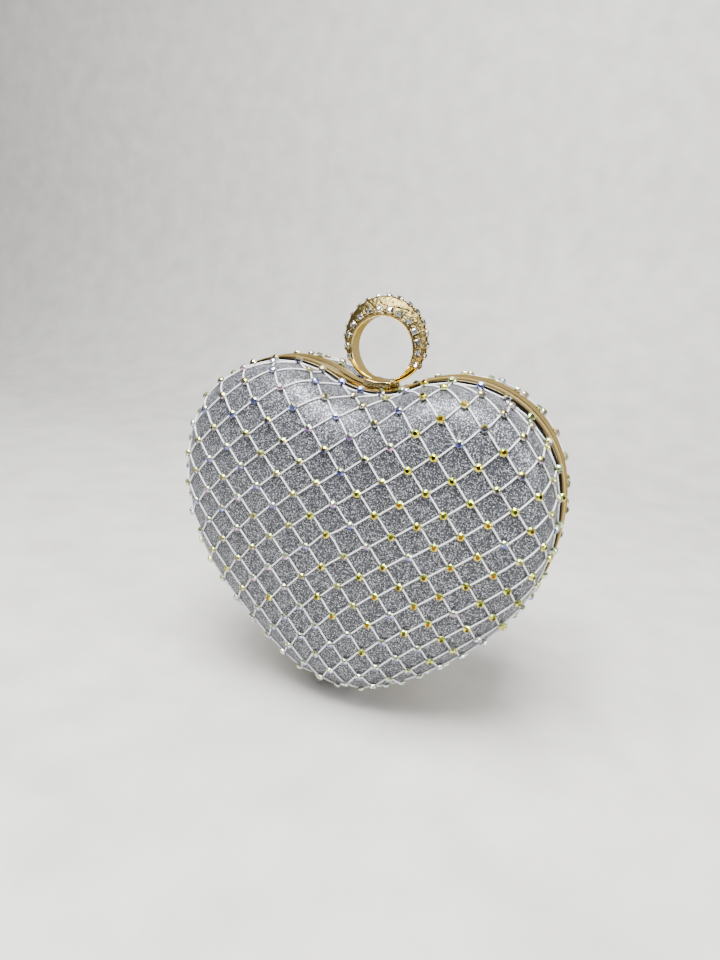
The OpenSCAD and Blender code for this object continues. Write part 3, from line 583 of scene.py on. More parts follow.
def frame_section(lip):
    """Half section of the gilt frame: swollen face, rim, gutter, flange, wall and lip."""
    points = [(swell_at(0.15) - 0.18, 0.15), (swell_at(0.15) - 0.06, 0.19),
              (swell_at(0.3) - 0.01, 0.32)]
    points += [(swell_at(d), d) for d in (0.9, 1.6, 2.4, 3.2, 4.0, 4.8, 5.6, 6.2)]
    points += [(swell_at(6.6) - 0.01, 6.65), (swell_at(6.9) - 0.06, 6.93), (-0.08, 7.1),
               (-0.2, 7.15), (-0.3, 7.08), (-0.34, 6.9), (-0.34, 6.2), (-1.2, 6.2), (-1.2, 7.2),
               (-4.7, 7.2), (-5.0, 6.95), (-5.0, 6.0), (-4.8, 5.8)]
    if lip:
        points += [(-2.5, 5.8), (-2.5, -1.3), (-2.3, -1.5), (-1.9, -1.5), (-1.7, -1.3),
                   (-1.7, 1.5), (-1.4, 1.5)]
    else:
        points += [(-1.4, 5.8)]
    return points + [(-1.4, 0.3), (-1.25, 0.15)]


def disc_of_rings(name, directions, levels):
    """A flat disc of rings whose radius and direction later say where each point lies."""
    clear_selection()
    bpy.ops.mesh.primitive_circle_add(vertices=directions, radius=1, fill_type="NOTHING")
    piece = named(name)
    edit(piece)
    for k in range(1, levels):
        bpy.ops.mesh.extrude_region_move()
        step = (levels - k) / (levels - k + 1)
        bpy.ops.transform.resize(value=(step, step, step))
    bpy.ops.mesh.extrude_region_move()
    bpy.ops.mesh.merge(type="CENTER")
    leave()
    return piece


def lay_on_dome(piece, side, place):
    """Bends a disc of rings over a dome, faces outwards; gives the area of the sheet."""
    for vert in piece.data.vertices:
        r = math.hypot(vert.co.x, vert.co.y)
        degrees = angle_of(vert.co) if r > 1e-4 else 90.0
        vert.co = turned(place(degrees, max(1 - r, 0.0)), side)
    piece.data.update()
    tidy_mesh(piece)
    # On one open sheet the outward side is the one that faces away from the seam
    if sum(p.normal.y * p.area for p in piece.data.polygons) * SIDES[side] < 0:
        flip(piece)
    return sum(p.area for p in piece.data.polygons)


# Stones

def stone_shape(radius, height, sides=8):
    """Round flat backed stone: crown facets, small star facets and a table."""
    clear_selection()
    bpy.ops.mesh.primitive_cylinder_add(vertices=sides, radius=radius * MM, depth=0.3 * height * MM,
                                        location=(0, 0, 0.15 * height * MM))
    piece = named("stone_shape")
    settle(piece)
    edit(piece)
    bpy.ops.mesh.select_all(action="DESELECT")
    leave()
    for face in piece.data.polygons:
        face.select = face.normal.z > 0.9
    edit(piece, False)
    for shrink, rise in ((0.8, 0.42), (0.56, 0.28)):
        bpy.ops.mesh.extrude_region_move(
            TRANSFORM_OT_translate={"value": (0, 0, rise * height * MM)})
        bpy.ops.transform.resize(value=(shrink, shrink, 1))
        bpy.ops.transform.rotate(value=math.pi / sides, orient_axis="Z", center_override=(0, 0, 0))
    bpy.ops.mesh.select_all(action="SELECT")
    bpy.ops.mesh.quads_convert_to_tris()
    bpy.ops.mesh.select_all(action="DESELECT")
    leave()
    shape = piece.data.copy()
    bpy.data.objects.remove(piece)
    return shape


def aurora_tone(normal, out, stone):
    """Tone of a facet: its colour turns from dark blue below to yellow green above, the darkness of
    the lower facets painted shade; random dimming and a pale rim are painted reflections.
    """
    flat = normal.dot(out)
    if flat > TABLE_FACING:
        return stone["table"]
    rise = normal.z - out.z * flat
    tones = stone["tones"]
    share = (rise / math.sqrt(max(1 - flat * flat, 0.02)) + 1) / 2
    share = min(max(share + stone["shift"], 0.0), 0.999)
    place = share * (len(tones) - 1)
    low, part = int(place), place - int(place)
    # Painted reflection: each facet dimmed at random, the outer facets paled towards white
    light = stone["rng"].choice((1.0, 1.0, 0.8, 0.45))
    rim = stone["rim"] if flat < STAR_FACING else 0.0
    return tuple(light * ((a + (b - a) * part) * (1 - rim) + 0.85 * rim)
                 for a, b in zip(tones[low], tones[low + 1]))


def set_stones(name, shape, places):
    """One piece from many copies of a stone; places are point, outward way, spin and looks."""
    verts, faces, tones = [], [], []
    corners = [v.co.copy() for v in shape.vertices]
    # Blender may list the facets in another order each time, and each draws its own tone
    facets = sorted(shape.polygons, key=lambda p: sorted(p.vertices))
    polys = [tuple(p.vertices) for p in facets]
    normals = [p.normal.copy() for p in facets]
    for point, out, spin, looks in places:
        turn = out.to_track_quat("Z", "Y").to_matrix() @ Matrix.Rotation(spin, 3, "Z")
        start = len(verts)
        verts += [point + turn @ c for c in corners]
        for corner_ids, normal in zip(polys, normals):
            faces.append([start + n for n in corner_ids])
            tones.append(looks["tone"]((turn @ normal).normalized(), out, looks))
    mesh = bpy.data.meshes.new(name)
    mesh.from_pydata(verts, [], faces)
    # Each facet's colour with its painted reflection and shade
    facet_colour_and_painted_light = mesh.color_attributes.new("facet_colour_and_painted_light", "FLOAT_COLOR", "CORNER")
    for face, tone in zip(mesh.polygons, tones):
        for loop in face.loop_indices:
            facet_colour_and_painted_light.data[loop].color = (*tone, 1.0)
    mesh.update()
    return linked(name, mesh)


# Tones of a stone's facets, from those that face down to those that face up: the coating's colour,
# with the darkest ones below as painted shade
WARM = [(0.02, 0.03, 0.1), (0.22, 0.2, 0.26), (0.88, 0.74, 0.34), (0.86, 0.86, 0.2),
        (0.76, 0.88, 0.22)]
COOL = [(0.02, 0.03, 0.18), (0.12, 0.15, 0.6), (0.7, 0.72, 0.9), (0.72, 0.82, 0.6),
        (0.72, 0.8, 0.35)]
GOLDEN = [(0.8, 0.66, 0.01), (0.88, 0.76, 0.02), (0.9, 0.85, 0.04), (0.8, 0.85, 0.05),
          (0.66, 0.8, 0.06)]
LIME = [(0.1, 0.14, 0.06), (0.5, 0.62, 0.2), (0.78, 0.86, 0.3), (0.6, 0.85, 0.4), (0.8, 0.9, 0.5)]
PINK = [(0.1, 0.06, 0.3), (0.75, 0.32, 0.5), (0.95, 0.9, 0.92), (0.5, 0.8, 0.62), (0.8, 0.82, 0.35)]
# Tones of the tables: dark or pale, painted reflections
GOLDEN_TABLES = ((0.05, 0.02, 0.0), (0.03, 0.04, 0.0), (0.2, 0.06, 0.0))
LIME_TABLES = ((0.5, 0.6, 0.3), (0.12, 0.14, 0.05), (0.75, 0.8, 0.55))
# Facet tones of the clear stones: bright and dark, painted reflections
CLEAR_STAR = ((0.95, 0.95, 0.97), (0.25, 0.24, 0.22), (0.08, 0.07, 0.05), (0.05, 0.04, 0.03))
CLEAR_GIRDLE = ((0.7, 0.66, 0.55), (0.25, 0.2, 0.12), (0.95, 0.95, 0.93), (0.5, 0.46, 0.38))


def aurora_looks(rng, golden, blue, lime=0.0):
    """Looks of one aurora stone, with the shares that turn yellow and blue in its place."""
    kind = rng.random()
    rim = 0.25
    if rng.random() < lime:
        tones, table = LIME, rng.choice(LIME_TABLES)
    elif kind < golden:
        tones, table, rim = GOLDEN, rng.choice(GOLDEN_TABLES), 0.35
    elif kind < golden + (1 - golden) * blue:
        tones, table = COOL, (0.16, 0.18, 0.3)
    elif kind < golden + (1 - golden) * (0.85 + 0.15 * blue):
        tones, table = WARM, (0.16, 0.14, 0.07)
    else:
        tones, table = PINK, (0.35, 0.25, 0.3)
    return {"tone": aurora_tone, "tones": tones, "table": table, "rim": rim,
            "shift": rng.uniform(-0.12, 0.12), "rng": rng}


def crystal_tone(normal, out, stone):
    """Tone of a clear stone's facet: bright or dark as painted reflections, and warmer towards the
    girdle.
    """
    flat = normal.dot(out)
    if flat > TABLE_FACING:
        return stone["table"]
    return stone["rng"].choice(CLEAR_STAR if flat > STAR_FACING else CLEAR_GIRDLE)


def net_knots():
    """Knots of the netting by their numbers along the falling and rising threads."""
    found = {}
    stops = [Vector((p.x, -FRAME_DEPTH - CORD_HEIGHT, p.y)) for p, _ in border_stops()]
    for j in range(-KNOT_REACH, KNOT_REACH + 1):
        for i in range(-KNOT_REACH, KNOT_REACH + 1):
            q = knot_flat(i, j)
            if room_at(q) > END_MIN:
                place = on_cloth(q)
                if min((place - stop).length for stop in stops) > KNOT_APART:
                    found[i, j] = q
    return found


def border_stones():
    """Each arc of the outline with the number of stones along it."""
    for arc in ARCS:
        _, radius, start, end, _ = arc
        yield *arc, round(abs(end - start) * math.pi / 180 * radius / EDGE_PITCH)


def border_stops():
    """Places along the border cord that hold a stone: outline point, outward direction."""
    stops = []
    for mirror in (1, -1):
        for centre, radius, start, end, sense, count in border_stones():
            for n in range(count):
                d = ray(start + (end - start) * (n + 0.5) / count)
                p = centre + (radius + sense * (CORD_R + 0.15 - CLOTH_INSET)) * d
                stops.append((Vector((mirror * p.x, p.y)),
                              Vector((mirror * sense * d.x, sense * d.y))))
    return stops


def border_path(r):
    """The border thread: it runs from stone to stone, and the netting draws it up between."""
    half = []
    for centre, radius, start, end, sense, count in border_stones():
        for n in range(6 * count):
            part = n / 6 + 1 / 12
            drawn = abs(math.cos(math.pi * part))
            d = ray(start + (end - start) * part / count)
            p = centre + (radius + sense * (r + 0.1 - 0.15 * drawn - CLOTH_INSET)) * d
            half.append(Vector((p.x, -FRAME_DEPTH - CORD_HEIGHT - CORD_DRAW * drawn, p.y)))
    return half + [Vector((-p.x, p.y, p.z)) for p in reversed(half)]


def in_scene():
    return bpy.context.scene.clutch_sizes, bpy.context.scene.clutch_colours


# Settings

class ClutchSizes(bpy.types.PropertyGroup):
    thread_radius: FloatProperty(
        name="Thread radius", description="Radius of the netting's thread",
        default=0.0003, min=0.0002, max=0.0006, subtype="DISTANCE", unit="LENGTH", precision=5)
    cord_radius: FloatProperty(
        name="Cord radius", description="Radius of the border cord",
        default=0.0003, min=0.0002, max=0.0006, subtype="DISTANCE", unit="LENGTH", precision=5)
    stone_radius: FloatProperty(
        name="Stone radius", description="Radius of a stone on the netting",
        default=0.0016, min=0.001, max=0.0018, subtype="DISTANCE", unit="LENGTH", precision=5)
    gem_radius: FloatProperty(
        name="Ring stone radius", description="Radius of a stone on the finger ring",
        default=0.00135, min=0.001, max=0.0015, subtype="DISTANCE", unit="LENGTH", precision=5)


class ClutchColours(bpy.types.PropertyGroup):
    cloth: FloatVectorProperty(
        name="Glitter cloth", description="Middle tone of the glitter cloth",
        default=(0.1, 0.105, 0.121), size=3, min=0, max=1, subtype="COLOR")
    thread: FloatVectorProperty(
        name="Thread", description="Tone of the netting and border cords",
        default=(0.95, 0.95, 0.97), size=3, min=0, max=1, subtype="COLOR")
    gilt: FloatVectorProperty(
        name="Light gold", description="Tone of the frame's light gold plate",
        default=(0.52, 0.415, 0.225), size=3, min=0, max=1, subtype="COLOR")
    deep_gold: FloatVectorProperty(
        name="Deep gold", description="Tone of the ring's deep gold plate",
        default=(0.25, 0.178, 0.014), size=3, min=0, max=1, subtype="COLOR")
    lining: FloatVectorProperty(
        name="Lining", description="Tone of the satin lining",
        default=(0.68, 0.67, 0.68), size=3, min=0, max=1, subtype="COLOR")


def finish_of(kind):
    """The finish of that name, made once."""
    name = "clutch_" + kind
    if name in bpy.data.materials:
        return bpy.data.materials[name]
    _, colours = in_scene()
    gilt = colours.gilt[:]
    # The crown's gilt: more olive than the frame's, and darker as painted shade
    crown_olive_painted_shade = [c * k for c, k in zip(gilt, (0.42, 0.405, 0.28))]
    makers = {  # for gold: colour, roughness, waves, relief, its depth and bands of seam tone and painted light
        "gilt": (gold_finish, gilt, 0.2),
        "frame_gilt": (gold_finish, gilt, 0.16, 60.0, 0.06, 0.0003, FRAME_SEAM_AND_PAINTED_LIGHT),
        "pave_gilt": (gold_finish, crown_olive_painted_shade, 0.28, 480.0, 0.9, 0.001),
        # A near black gilt for the cups: painted shade round the ring's stones
        "cup_gold": (gold_finish, shaded(gilt, 0.3), 0.3),
        # A darker rough gilt for the base's front: its relief is texture, its darkness painted
        # shade
        "base_gilt": (gold_finish, shaded(gilt, 0.7), 0.2, 420.0, 0.8, 0.0008),
        # A darker copy of the gilt for the bore and the base: painted shade
        "bore_gilt": (gold_finish, shaded(gilt, 0.8), 0.2),
        # A brighter gold for the edges of the hole's lip and of the base: painted highlights
        "bright_gold": (gold_finish, (0.85, 0.66, 0.28), 0.15),
        "deep_gold": (gold_finish, colours.deep_gold[:], 0.09, 300.0, 0.4),
        "glitter": (glitter_finish, colours.cloth[:]),
        "thread": (thread_finish, colours.thread[:]),
        "satin": (satin_finish, colours.lining[:]),
        "aurora": (stone_finish, 0.16),
        "crystal": (stone_finish, 0.1),
        "steel": (plain_finish, (0.66, 0.66, 0.68), 0.25, 1.0),
        "board": (plain_finish, (0.24, 0.24, 0.26), 0.7),
        # Black: painted shade in the frame's gutter
        "dark_edge": (plain_finish, (0.03, 0.03, 0.03), 0.8),
    }
    maker, *settings = makers[kind]
    return maker(name, *settings)


# Pieces

def turn_back(piece):
    """Carries a piece of the front half over the seam to the back half."""
    for vert in piece.data.vertices:
        vert.co.y = -vert.co.y - 2 * RING_BACK * MM
    flip(piece)


class OBJECT_OT_clutch_frames(bpy.types.Operator):
    """Make the two gilt halves of the frame"""
    bl_idname = "object.clutch_frames"
    bl_label = "Gilt Frame"

    def execute(self, context):
        for side in SIDES:
            piece = outline_sweep(side + "_gilt_frame", frame_section(side == "back"))
            land, tip = HOLLOW_Z - 1.0, TIP.y - TIP_R
            seat = TIP.y - math.sqrt(TIP_R ** 2 - SEAT_W ** 2)
            reach = 4.4 if side == "front" else 8.2
            pads = [
                block("land_pad", (-7.2, -6.5, HOLLOW_Z - 4.1), (7.2, -0.6, land)),
                block("seat_pad", (-12.3, -6.5, seat), (12.3, -0.6, tip + 4.1)),
            ]
            cut_away(piece, block("land_cut", (-LAND_W, -reach, land), (LAND_W, 1.0, HOLLOW_Z + 9)))
            cut_away(piece, block("seat_cut", (-SEAT_W, -6.1, tip - 9), (SEAT_W, 1.0, seat)))
            join(piece, *pads)
            # A black strip in the gutter: painted shade
            gutter_shade_strip = outline_sweep(side + "_painted_gutter_shade_strip", PAINTED_GUTTER_SHADE)
            if side == "back":
                turn_back(piece)
                turn_back(gutter_shade_strip)
            smooth(piece, 32)
            # The frame's finish carries a painted highlight and painted shade in bands by depth
            dress(piece, "frame_gilt", BODY[side], "gilt", side + "_frame")
            dress(gutter_shade_strip, "dark_edge", BODY[side], "glitter_cloth")
        return {"FINISHED"}


class OBJECT_OT_clutch_covers(bpy.types.Operator):
    """Stretch the glitter cloth over both shells"""
    bl_idname = "object.clutch_covers"
    bl_label = "Glitter Cloth"

    def execute(self, context):
        for side in SIDES:
            piece = disc_of_rings(side + "_glitter_cloth", directions=176, levels=44)
            cut = lay_on_dome(
                piece, side, lambda degrees, t: dome_point(degrees, lift_at(t), CLOTH_INSET))
            apply_modifier(piece, "SOLIDIFY", thickness=CLOTH_THICK * MM, offset=-1)
            smooth(piece, 50)
            dress(piece, "glitter", BODY[side], "glitter_cloth", side + "_cover")
        return {"FINISHED"}


class OBJECT_OT_clutch_linings(bpy.types.Operator):
    """Line both halves with softly gathered satin"""
    bl_idname = "object.clutch_linings"
    bl_label = "Satin Lining"

    def execute(self, context):
        for side in SIDES:
            piece = disc_of_rings(side + "_satin_lining", directions=240, levels=30)

            def place(degrees, t):
                """Fine folds along the edge and soft ones over the dome."""
                a = math.radians(degrees)
                edge = max(1 - t * 2.2, 0) * min(t * 9, 1)
                fold = 0.5 + 0.5 * math.sin(a * FOLDS + 1.3 * math.sin(a * 5))
                soft = SOFT_DEPTH * math.sin(a * SOFT_FOLDS + t * 9) * min(t * 3, 1) * (1 - t)
                inset = LINING_INSET + FOLD_DEPTH * edge * fold + abs(soft)
                return dome_point(degrees, lift_at(t), inset)

            cut = lay_on_dome(piece, side, place)
            apply_modifier(piece, "SOLIDIFY", thickness=LINING_THICK * MM, offset=-1)
            smooth(piece, 60)
            dress(piece, "satin", BODY[side], "lining_cloth", side + "_lining")
        return {"FINISHED"}


def thread_path(stops):
    """Smooth run of a thread through its stops of flat place and height over the cloth."""
    points = []
    for (q0, h0), (q1, h1) in zip(stops, stops[1:]):
        steps = max(int((q1 - q0).length / THREAD_STEP), 2)
        for n in range(steps):
            part = n / steps
            q = q0.lerp(q1, part)
            point, out = cloth_frame(q)
            points.append(point + out * (h0 + (h1 - h0) * part))
    point, out = cloth_frame(stops[-1][0])
    points.append(point + out * stops[-1][1])
    return points


def cord_mesh(name, paths, radius, closed=False, side="front", resolution=2):
    """Round cords along paths of the front half, as one mesh."""
    clear_selection()
    curve = bpy.data.curves.new(name, "CURVE")
    curve.dimensions = "3D"
    curve.bevel_depth = radius
    curve.bevel_resolution = resolution
    curve.use_fill_caps = True
    for path in paths:
        spline = curve.splines.new("POLY")
        spline.points.add(len(path) - 1)
        for point, place in zip(spline.points, path):
            point.co = (*turned(place, side), 1)
        spline.use_cyclic_u = closed
    take(linked(name, curve))
    bpy.ops.object.convert(target="MESH")
    return bpy.context.object


def lay_thread(side, name, node, paths, radius, **shape):
    """White thread along paths on one side, as one piece."""
    piece = cord_mesh(side + name, paths, radius, side=side, **shape)
    tidy_mesh(piece, 1e-7)
    smooth(piece, 80)
    dress(piece, "thread", BODY[side], "white_thread", side + node)


class OBJECT_OT_clutch_netting(bpy.types.Operator):
    """Tie the white netting over both domes"""
    bl_idname = "object.clutch_netting"
    bl_label = "Netting"

    def execute(self, context):
        sizes, _ = in_scene()
        knots = net_knots()
        lift = sizes.thread_radius / MM + THREAD_GAP
        kiss = (FALL + RISE).normalized() * KNOT_RUN
        ends = [p for p, _ in border_stops()]

        def runs(step):
            """Chains of knots along one family of threads."""
            chains = []
            for key in knots:
                if (key[0] - step[0], key[1] - step[1]) in knots:
                    continue
                chain, at = [], key
                while at in knots:
                    chain.append(at)
                    at = (at[0] + step[0], at[1] + step[1])
                chains.append(chain)
            return chains

        def to_border(key, step):
            """Where a thread that leaves its last knot meets the border cord."""
            q = knots[key]
            far = knot_flat(key[0] + step[0], key[1] + step[1])
            room = room_at(q)
            place = on_cloth(q + (far - q) * room / (room + max(-room_at(far), 0.0)))
            near = min(ends, key=lambda p: (p.x - place.x) ** 2 + (p.y - place.z) ** 2)
            if (near - Vector((place.x, place.z))).length > STOP_REACH:
                near = Vector((place.x, place.z))
            degrees = angle_of(Vector((near.x, near.y - DOME_MID)))
            return ray(degrees) * (length_table(degrees)[-1][0] - END_SHORT)

        paths = []
        for step in ((1, 0), (0, 1)):
            for chain in runs(step):
                back = (-step[0], -step[1])
                line = [(to_border(chain[0], back), lift)]
                for key in chain:
                    line += [(knots[key] - kiss, lift), (knots[key] + kiss, lift)]
                line.append((to_border(chain[-1], step), lift))
                paths.append(thread_path(line))
        for side in SIDES:
            lay_thread(side, "_netting", "_net", paths, sizes.thread_radius, resolution=1)
        return {"FINISHED"}


class OBJECT_OT_clutch_border_cords(bpy.types.Operator):
    """Lay the border cord along the foot of both domes"""
    bl_idname = "object.clutch_border_cords"
    bl_label = "Border Cords"

    def execute(self, context):
        sizes, _ = in_scene()
        path = border_path(sizes.cord_radius / MM)
        for side in SIDES:
            lay_thread(side, "_border_thread", "_border_cord", [path], sizes.cord_radius,
                       closed=True)
        return {"FINISHED"}


class OBJECT_OT_clutch_stones(bpy.types.Operator):
    """Set the aurora stones on the knots and along the borders"""
    bl_idname = "object.clutch_stones"
    bl_label = "Aurora Stones"

    def execute(self, context):
        sizes, _ = in_scene()
        shape = stone_shape(sizes.stone_radius / MM, STONE_HEIGHT)
        knots = net_knots()
        thread = 2 * sizes.thread_radius / MM + 0.05
        for side in SIDES:
            rng = random.Random(7 if side == "front" else 11)

            def stone(point, out, *shares):
                return (turned(point, side), turned_way(out, side), rng.uniform(0, math.tau),
                        aurora_looks(rng, *shares))

            places = []
            for q in knots.values():
                point, out = cloth_frame(q)
                away = (q.x - YELLOW_X) ** 2 + (q.y - YELLOW_Y) ** 2
                golden = min(1.25 * math.exp(-away / YELLOW_REACH ** 2), YELLOW_MOST)
                blue = 0.85 if q.y < BLUE_BELOW else 0.25
                places.append(stone(point + thread * out, out, golden, blue))
            piece = set_stones(side + "_aurora_stones", shape, places)
            dress(piece, "aurora", BODY[side], "aurora_stone", side + "_net_stones")
            places = []
            for p, d in border_stops():
                out = Vector((d.x, -1, d.y)).normalized()
                point = Vector((p.x, -FRAME_DEPTH - CORD_HEIGHT, p.y)) + EDGE_STONE_LIFT * out
                places.append(stone(point, out, 0.3, 0.3, 0.6))
            piece = set_stones(side + "_border_stones", shape, places)
            dress(piece, "aurora", BODY[side], "aurora_stone", side + "_edge_stones")
        bpy.data.meshes.remove(shape)
        return {"FINISHED"}


def turned_part(name, section, start, end, steps, rise=CREST_RISE):
    """Spins a section of radius and depth about an axis above the centre of the finger hole."""
    d = ray(start)
    points = [(r * MM * d.x, depth * MM, (rise + r * d.y) * MM) for r, depth in section]
    piece = spun(name, points, [(steps, end - start, (0, 0, rise * MM))], end - start >= 360)
    tidy_mesh(piece)
    return piece


def flank_width(r, slope):
    """Half width of the ring's flanks at a radius about the hole or about the crest."""
    return BROW_W / 2 - slope * (r - BROW_R)


def gem_places(row):
    """Places and outward ways of the stones of a row of the ring."""
    count, end = (CREST_GEMS, GEM_END) if row == "crest" else (FLANK_GEMS, ROW_END)
    places = []
    for n in range(2 * count - 1):
        d = ray(end + n * (180 - 2 * end) / (2 * count - 2))
        if row == "crest":
            point = Vector((CREST_R * d.x, 0, CREST_RISE + CREST_R * d.y))
            places.append((point, Vector((d.x, 0, d.y))))
            continue
        way = 1 if row == "back" else -1
        p = ROW_R * d + Vector((0, ROW_RISE))
        from_crest = p - Vector((0, CREST_RISE))
        hole_w = flank_width(p.length, HOLE_SLOPE)
        side_w = flank_width(from_crest.length, CREST_SLOPE)
        lean = (HOLE_SLOPE * p.normalized() if hole_w < side_w
                else CREST_SLOPE * from_crest.normalized())
        places.append((Vector((p.x, way * min(hole_w, side_w), p.y)),
                       Vector((lean.x, way, lean.y)).normalized()))
    return places[::2], places[1::2]


def both_ways(half):
    """Closes a half section of radius and depth by its mirror image."""
    return half + [(r, -d) for r, d in reversed(half) if d > 0]


def make_band():
    """The ring's band: a crown between two plain shanks, each cut to the shape of its sides."""
    jewelled = both_ways([
        (8.0, 4.3), (12.9, 4.3), (13.2, 4.1), (13.5, 3.8), (15.5, 2.0), (15.8, 1.75), (16.0, 1.5),
        (16.15, 1.25), (16.15, 1.05), (16.05, 0.9), (16.0, 0.0)])
    plain = both_ways([
        (8.0, 4.3), (12.9, 4.3), (13.2, 4.05), (14.05, 3.27), (14.15, 2.95), (14.4, 2.65),
        (14.8, 2.55), (15.0, 2.4), (15.9, 1.6), (16.1, 1.35), (16.15, 0.9), (16.2, 0.0)])
    about_hole = both_ways([
        (BORE_R, 3.6), (12.1, 3.72), (12.3, 3.8), (12.6, 3.98), (12.75, 4.14), (12.9, 4.2),
        (13.1, 4.16), (20.0, 1.05)])
    crown = turned_part("ring_band_gilt", jewelled, CROWN_END, 180 - CROWN_END, steps=110)
    shanks = [turned_part(name, plain, start, end, steps=26) for name, start, end in (
        ("ring_shank_right", SHANK_END, CROWN_END),
        ("ring_shank_left", 180 - CROWN_END, 180 - SHANK_END))]
    for part in (crown, *shanks):
        hull = turned_part("hole_side", about_hole, -90, 270, steps=200, rise=0.0)
        cut_away(part, hull, "INTERSECT")
    corners = [Vector((0, 0)), 30 * ray(FOOT - 90), Vector((0, -34)), 30 * ray(-90 - FOOT)]
    for part in shanks:
        clear_selection()
        bpy.ops.mesh.primitive_cube_add(size=1)
        wedge = named("foot_cut")
        for vert in wedge.data.vertices:
            n = (0 if vert.co.x < 0 else 1) if vert.co.z > 0 else (3 if vert.co.x < 0 else 2)
            vert.co = (corners[n].x * MM, (-12 if vert.co.y < 0 else 12) * MM, corners[n].y * MM)
        tidy_mesh(wedge)
        cut_away(part, wedge)
    for part in (crown, *shanks):
        smooth(part, 30)
        # The crown's gilt is darkened as painted shade; the shanks are deep gold
        if part is crown:
            dress(part, "pave_gilt", "ring_clasp", "gilt", "ring_band")
        else:
            dress(part, "deep_gold", "ring_clasp", "deep_gold")
        # The bore's faces take the darker copy of the gilt as painted shade
        for kind in ("bright_gold", "bore_gilt"):
            part.data.materials.append(finish_of(kind))
        # The faces of the hole's lip take the brighter gold as a painted highlight
        for face in part.data.polygons:
            r = math.hypot(face.center.x, face.center.z) / MM
            face.material_index = (r < EDGE_OUT) + (r < BORE_OUT)


def set_cups_and_beads(r):
    """A cup under each stone of the ring, darkened as painted shade round the stone, four beads
    round it and one between two stones.
    """
    clear_selection()
    bpy.ops.mesh.primitive_uv_sphere_add(segments=8, ring_count=5, radius=BEAD_R * MM)
    bead = named("bead")
    clear_selection()
    bpy.ops.mesh.primitive_cylinder_add(
        vertices=20, radius=r * CUP_SHARE * MM, depth=CUP_DEPTH * MM)
    cup = named("cup")
    beads, cups = [], []

    def set_copy(source, point, copies, out=None):
        copy = linked(source.name + "_copy", source.data.copy())
        copy.location = point * MM
        if out:
            copy.rotation_euler = Vector((0, 0, 1)).rotation_difference(out).to_euler()
        copies.append(copy)

    for row in RING_ROWS:
        stones, between = gem_places(row)
        for point, out in stones:
            set_copy(cup, point - CUP_SINK * out, cups, out)
            across_row = Vector((0, 1, 0)) if row == "crest" else Vector((point.x, 0, point.z))
            along = across_row.cross(out).normalized()
            across = out.cross(along)
            for turn in range(45, 360, 90):
                way = math.cos(math.radians(turn)) * along + math.sin(math.radians(turn)) * across
                set_copy(bead, point + (r + 0.05) * way + 0.08 * out, beads)
        for point, out in between:
            set_copy(bead, point + 0.02 * out, beads)
    bpy.data.objects.remove(bead)
    bpy.data.objects.remove(cup)
    for copies, name, kind, degrees in (
            (beads, "ring_beads", "gilt", 80), (cups, "ring_cups", "cup_gold", 30)):
        piece = join(*copies)
        piece.name = name
        settle(piece)
        smooth(piece, degrees)
        dress(piece, kind, "ring_clasp", "gilt")


class OBJECT_OT_clutch_ring(bpy.types.Operator):
    """Make the finger ring with its rows of clear stones"""
    bl_idname = "object.clutch_ring"
    bl_label = "Finger Ring"

    def execute(self, context):
        sizes, _ = in_scene()
        make_band()
        rng = random.Random(3)
        r = sizes.gem_radius / MM
        shape = stone_shape(r, 1.0)
        # Tones of the clear stones' tables: painted reflections
        tables = ((1.0, 1.0, 1.0), (0.8, 0.8, 0.82), (0.55, 0.54, 0.52))
        for row in RING_ROWS:
            places = []
            for point, out in gem_places(row)[0]:
                looks = {"tone": crystal_tone, "table": rng.choice(tables), "rng": rng}
                places.append((point * MM, out, rng.uniform(0, math.tau), looks))
            piece = set_stones("ring_stones_" + row + "_row", shape, places)
            dress(piece, "crystal", "ring_clasp", "crystal", "ring_stones_" + row)
        bpy.data.meshes.remove(shape)
        set_cups_and_beads(r)
        return {"FINISHED"}


def make_base(width):
    """The ring's base from its own mesh: eased edges in a brighter gold as painted highlights, a
    rough front darkened as painted shade, deep gold shoulders.
    """
    piece = linked("ring_base_block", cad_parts["ring_base"].data.copy())
    tidy_mesh(piece)
    edit(piece)
    bpy.ops.mesh.dissolve_limited(angle_limit=math.radians(1))
    leave()
    # The base takes the darker copy of the gilt as painted shade
    dress(piece, "bore_gilt", "ring_clasp", "gilt", "ring_base")
    for kind in ("bright_gold", "base_gilt", "deep_gold"):
        piece.data.materials.append(finish_of(kind))
    for face in piece.data.polygons:
        x, _, z = face.center / MM
        if abs(x) > BASE_W / 2 + 0.05 and math.hypot(x, z) > SHOULDER_OUT:
            face.material_index = 3
        # Front faces: the darker rough gilt, painted shade
        elif face.normal.y < -0.7:
            face.material_index = 2
    # Its eased edges take the brighter gold as painted highlights
    apply_modifier(piece, "BEVEL", width=width * MM, segments=2, limit_method="ANGLE",
                   angle_limit=math.radians(50), material=1, use_clamp_overlap=False)
    smooth(piece, 35)


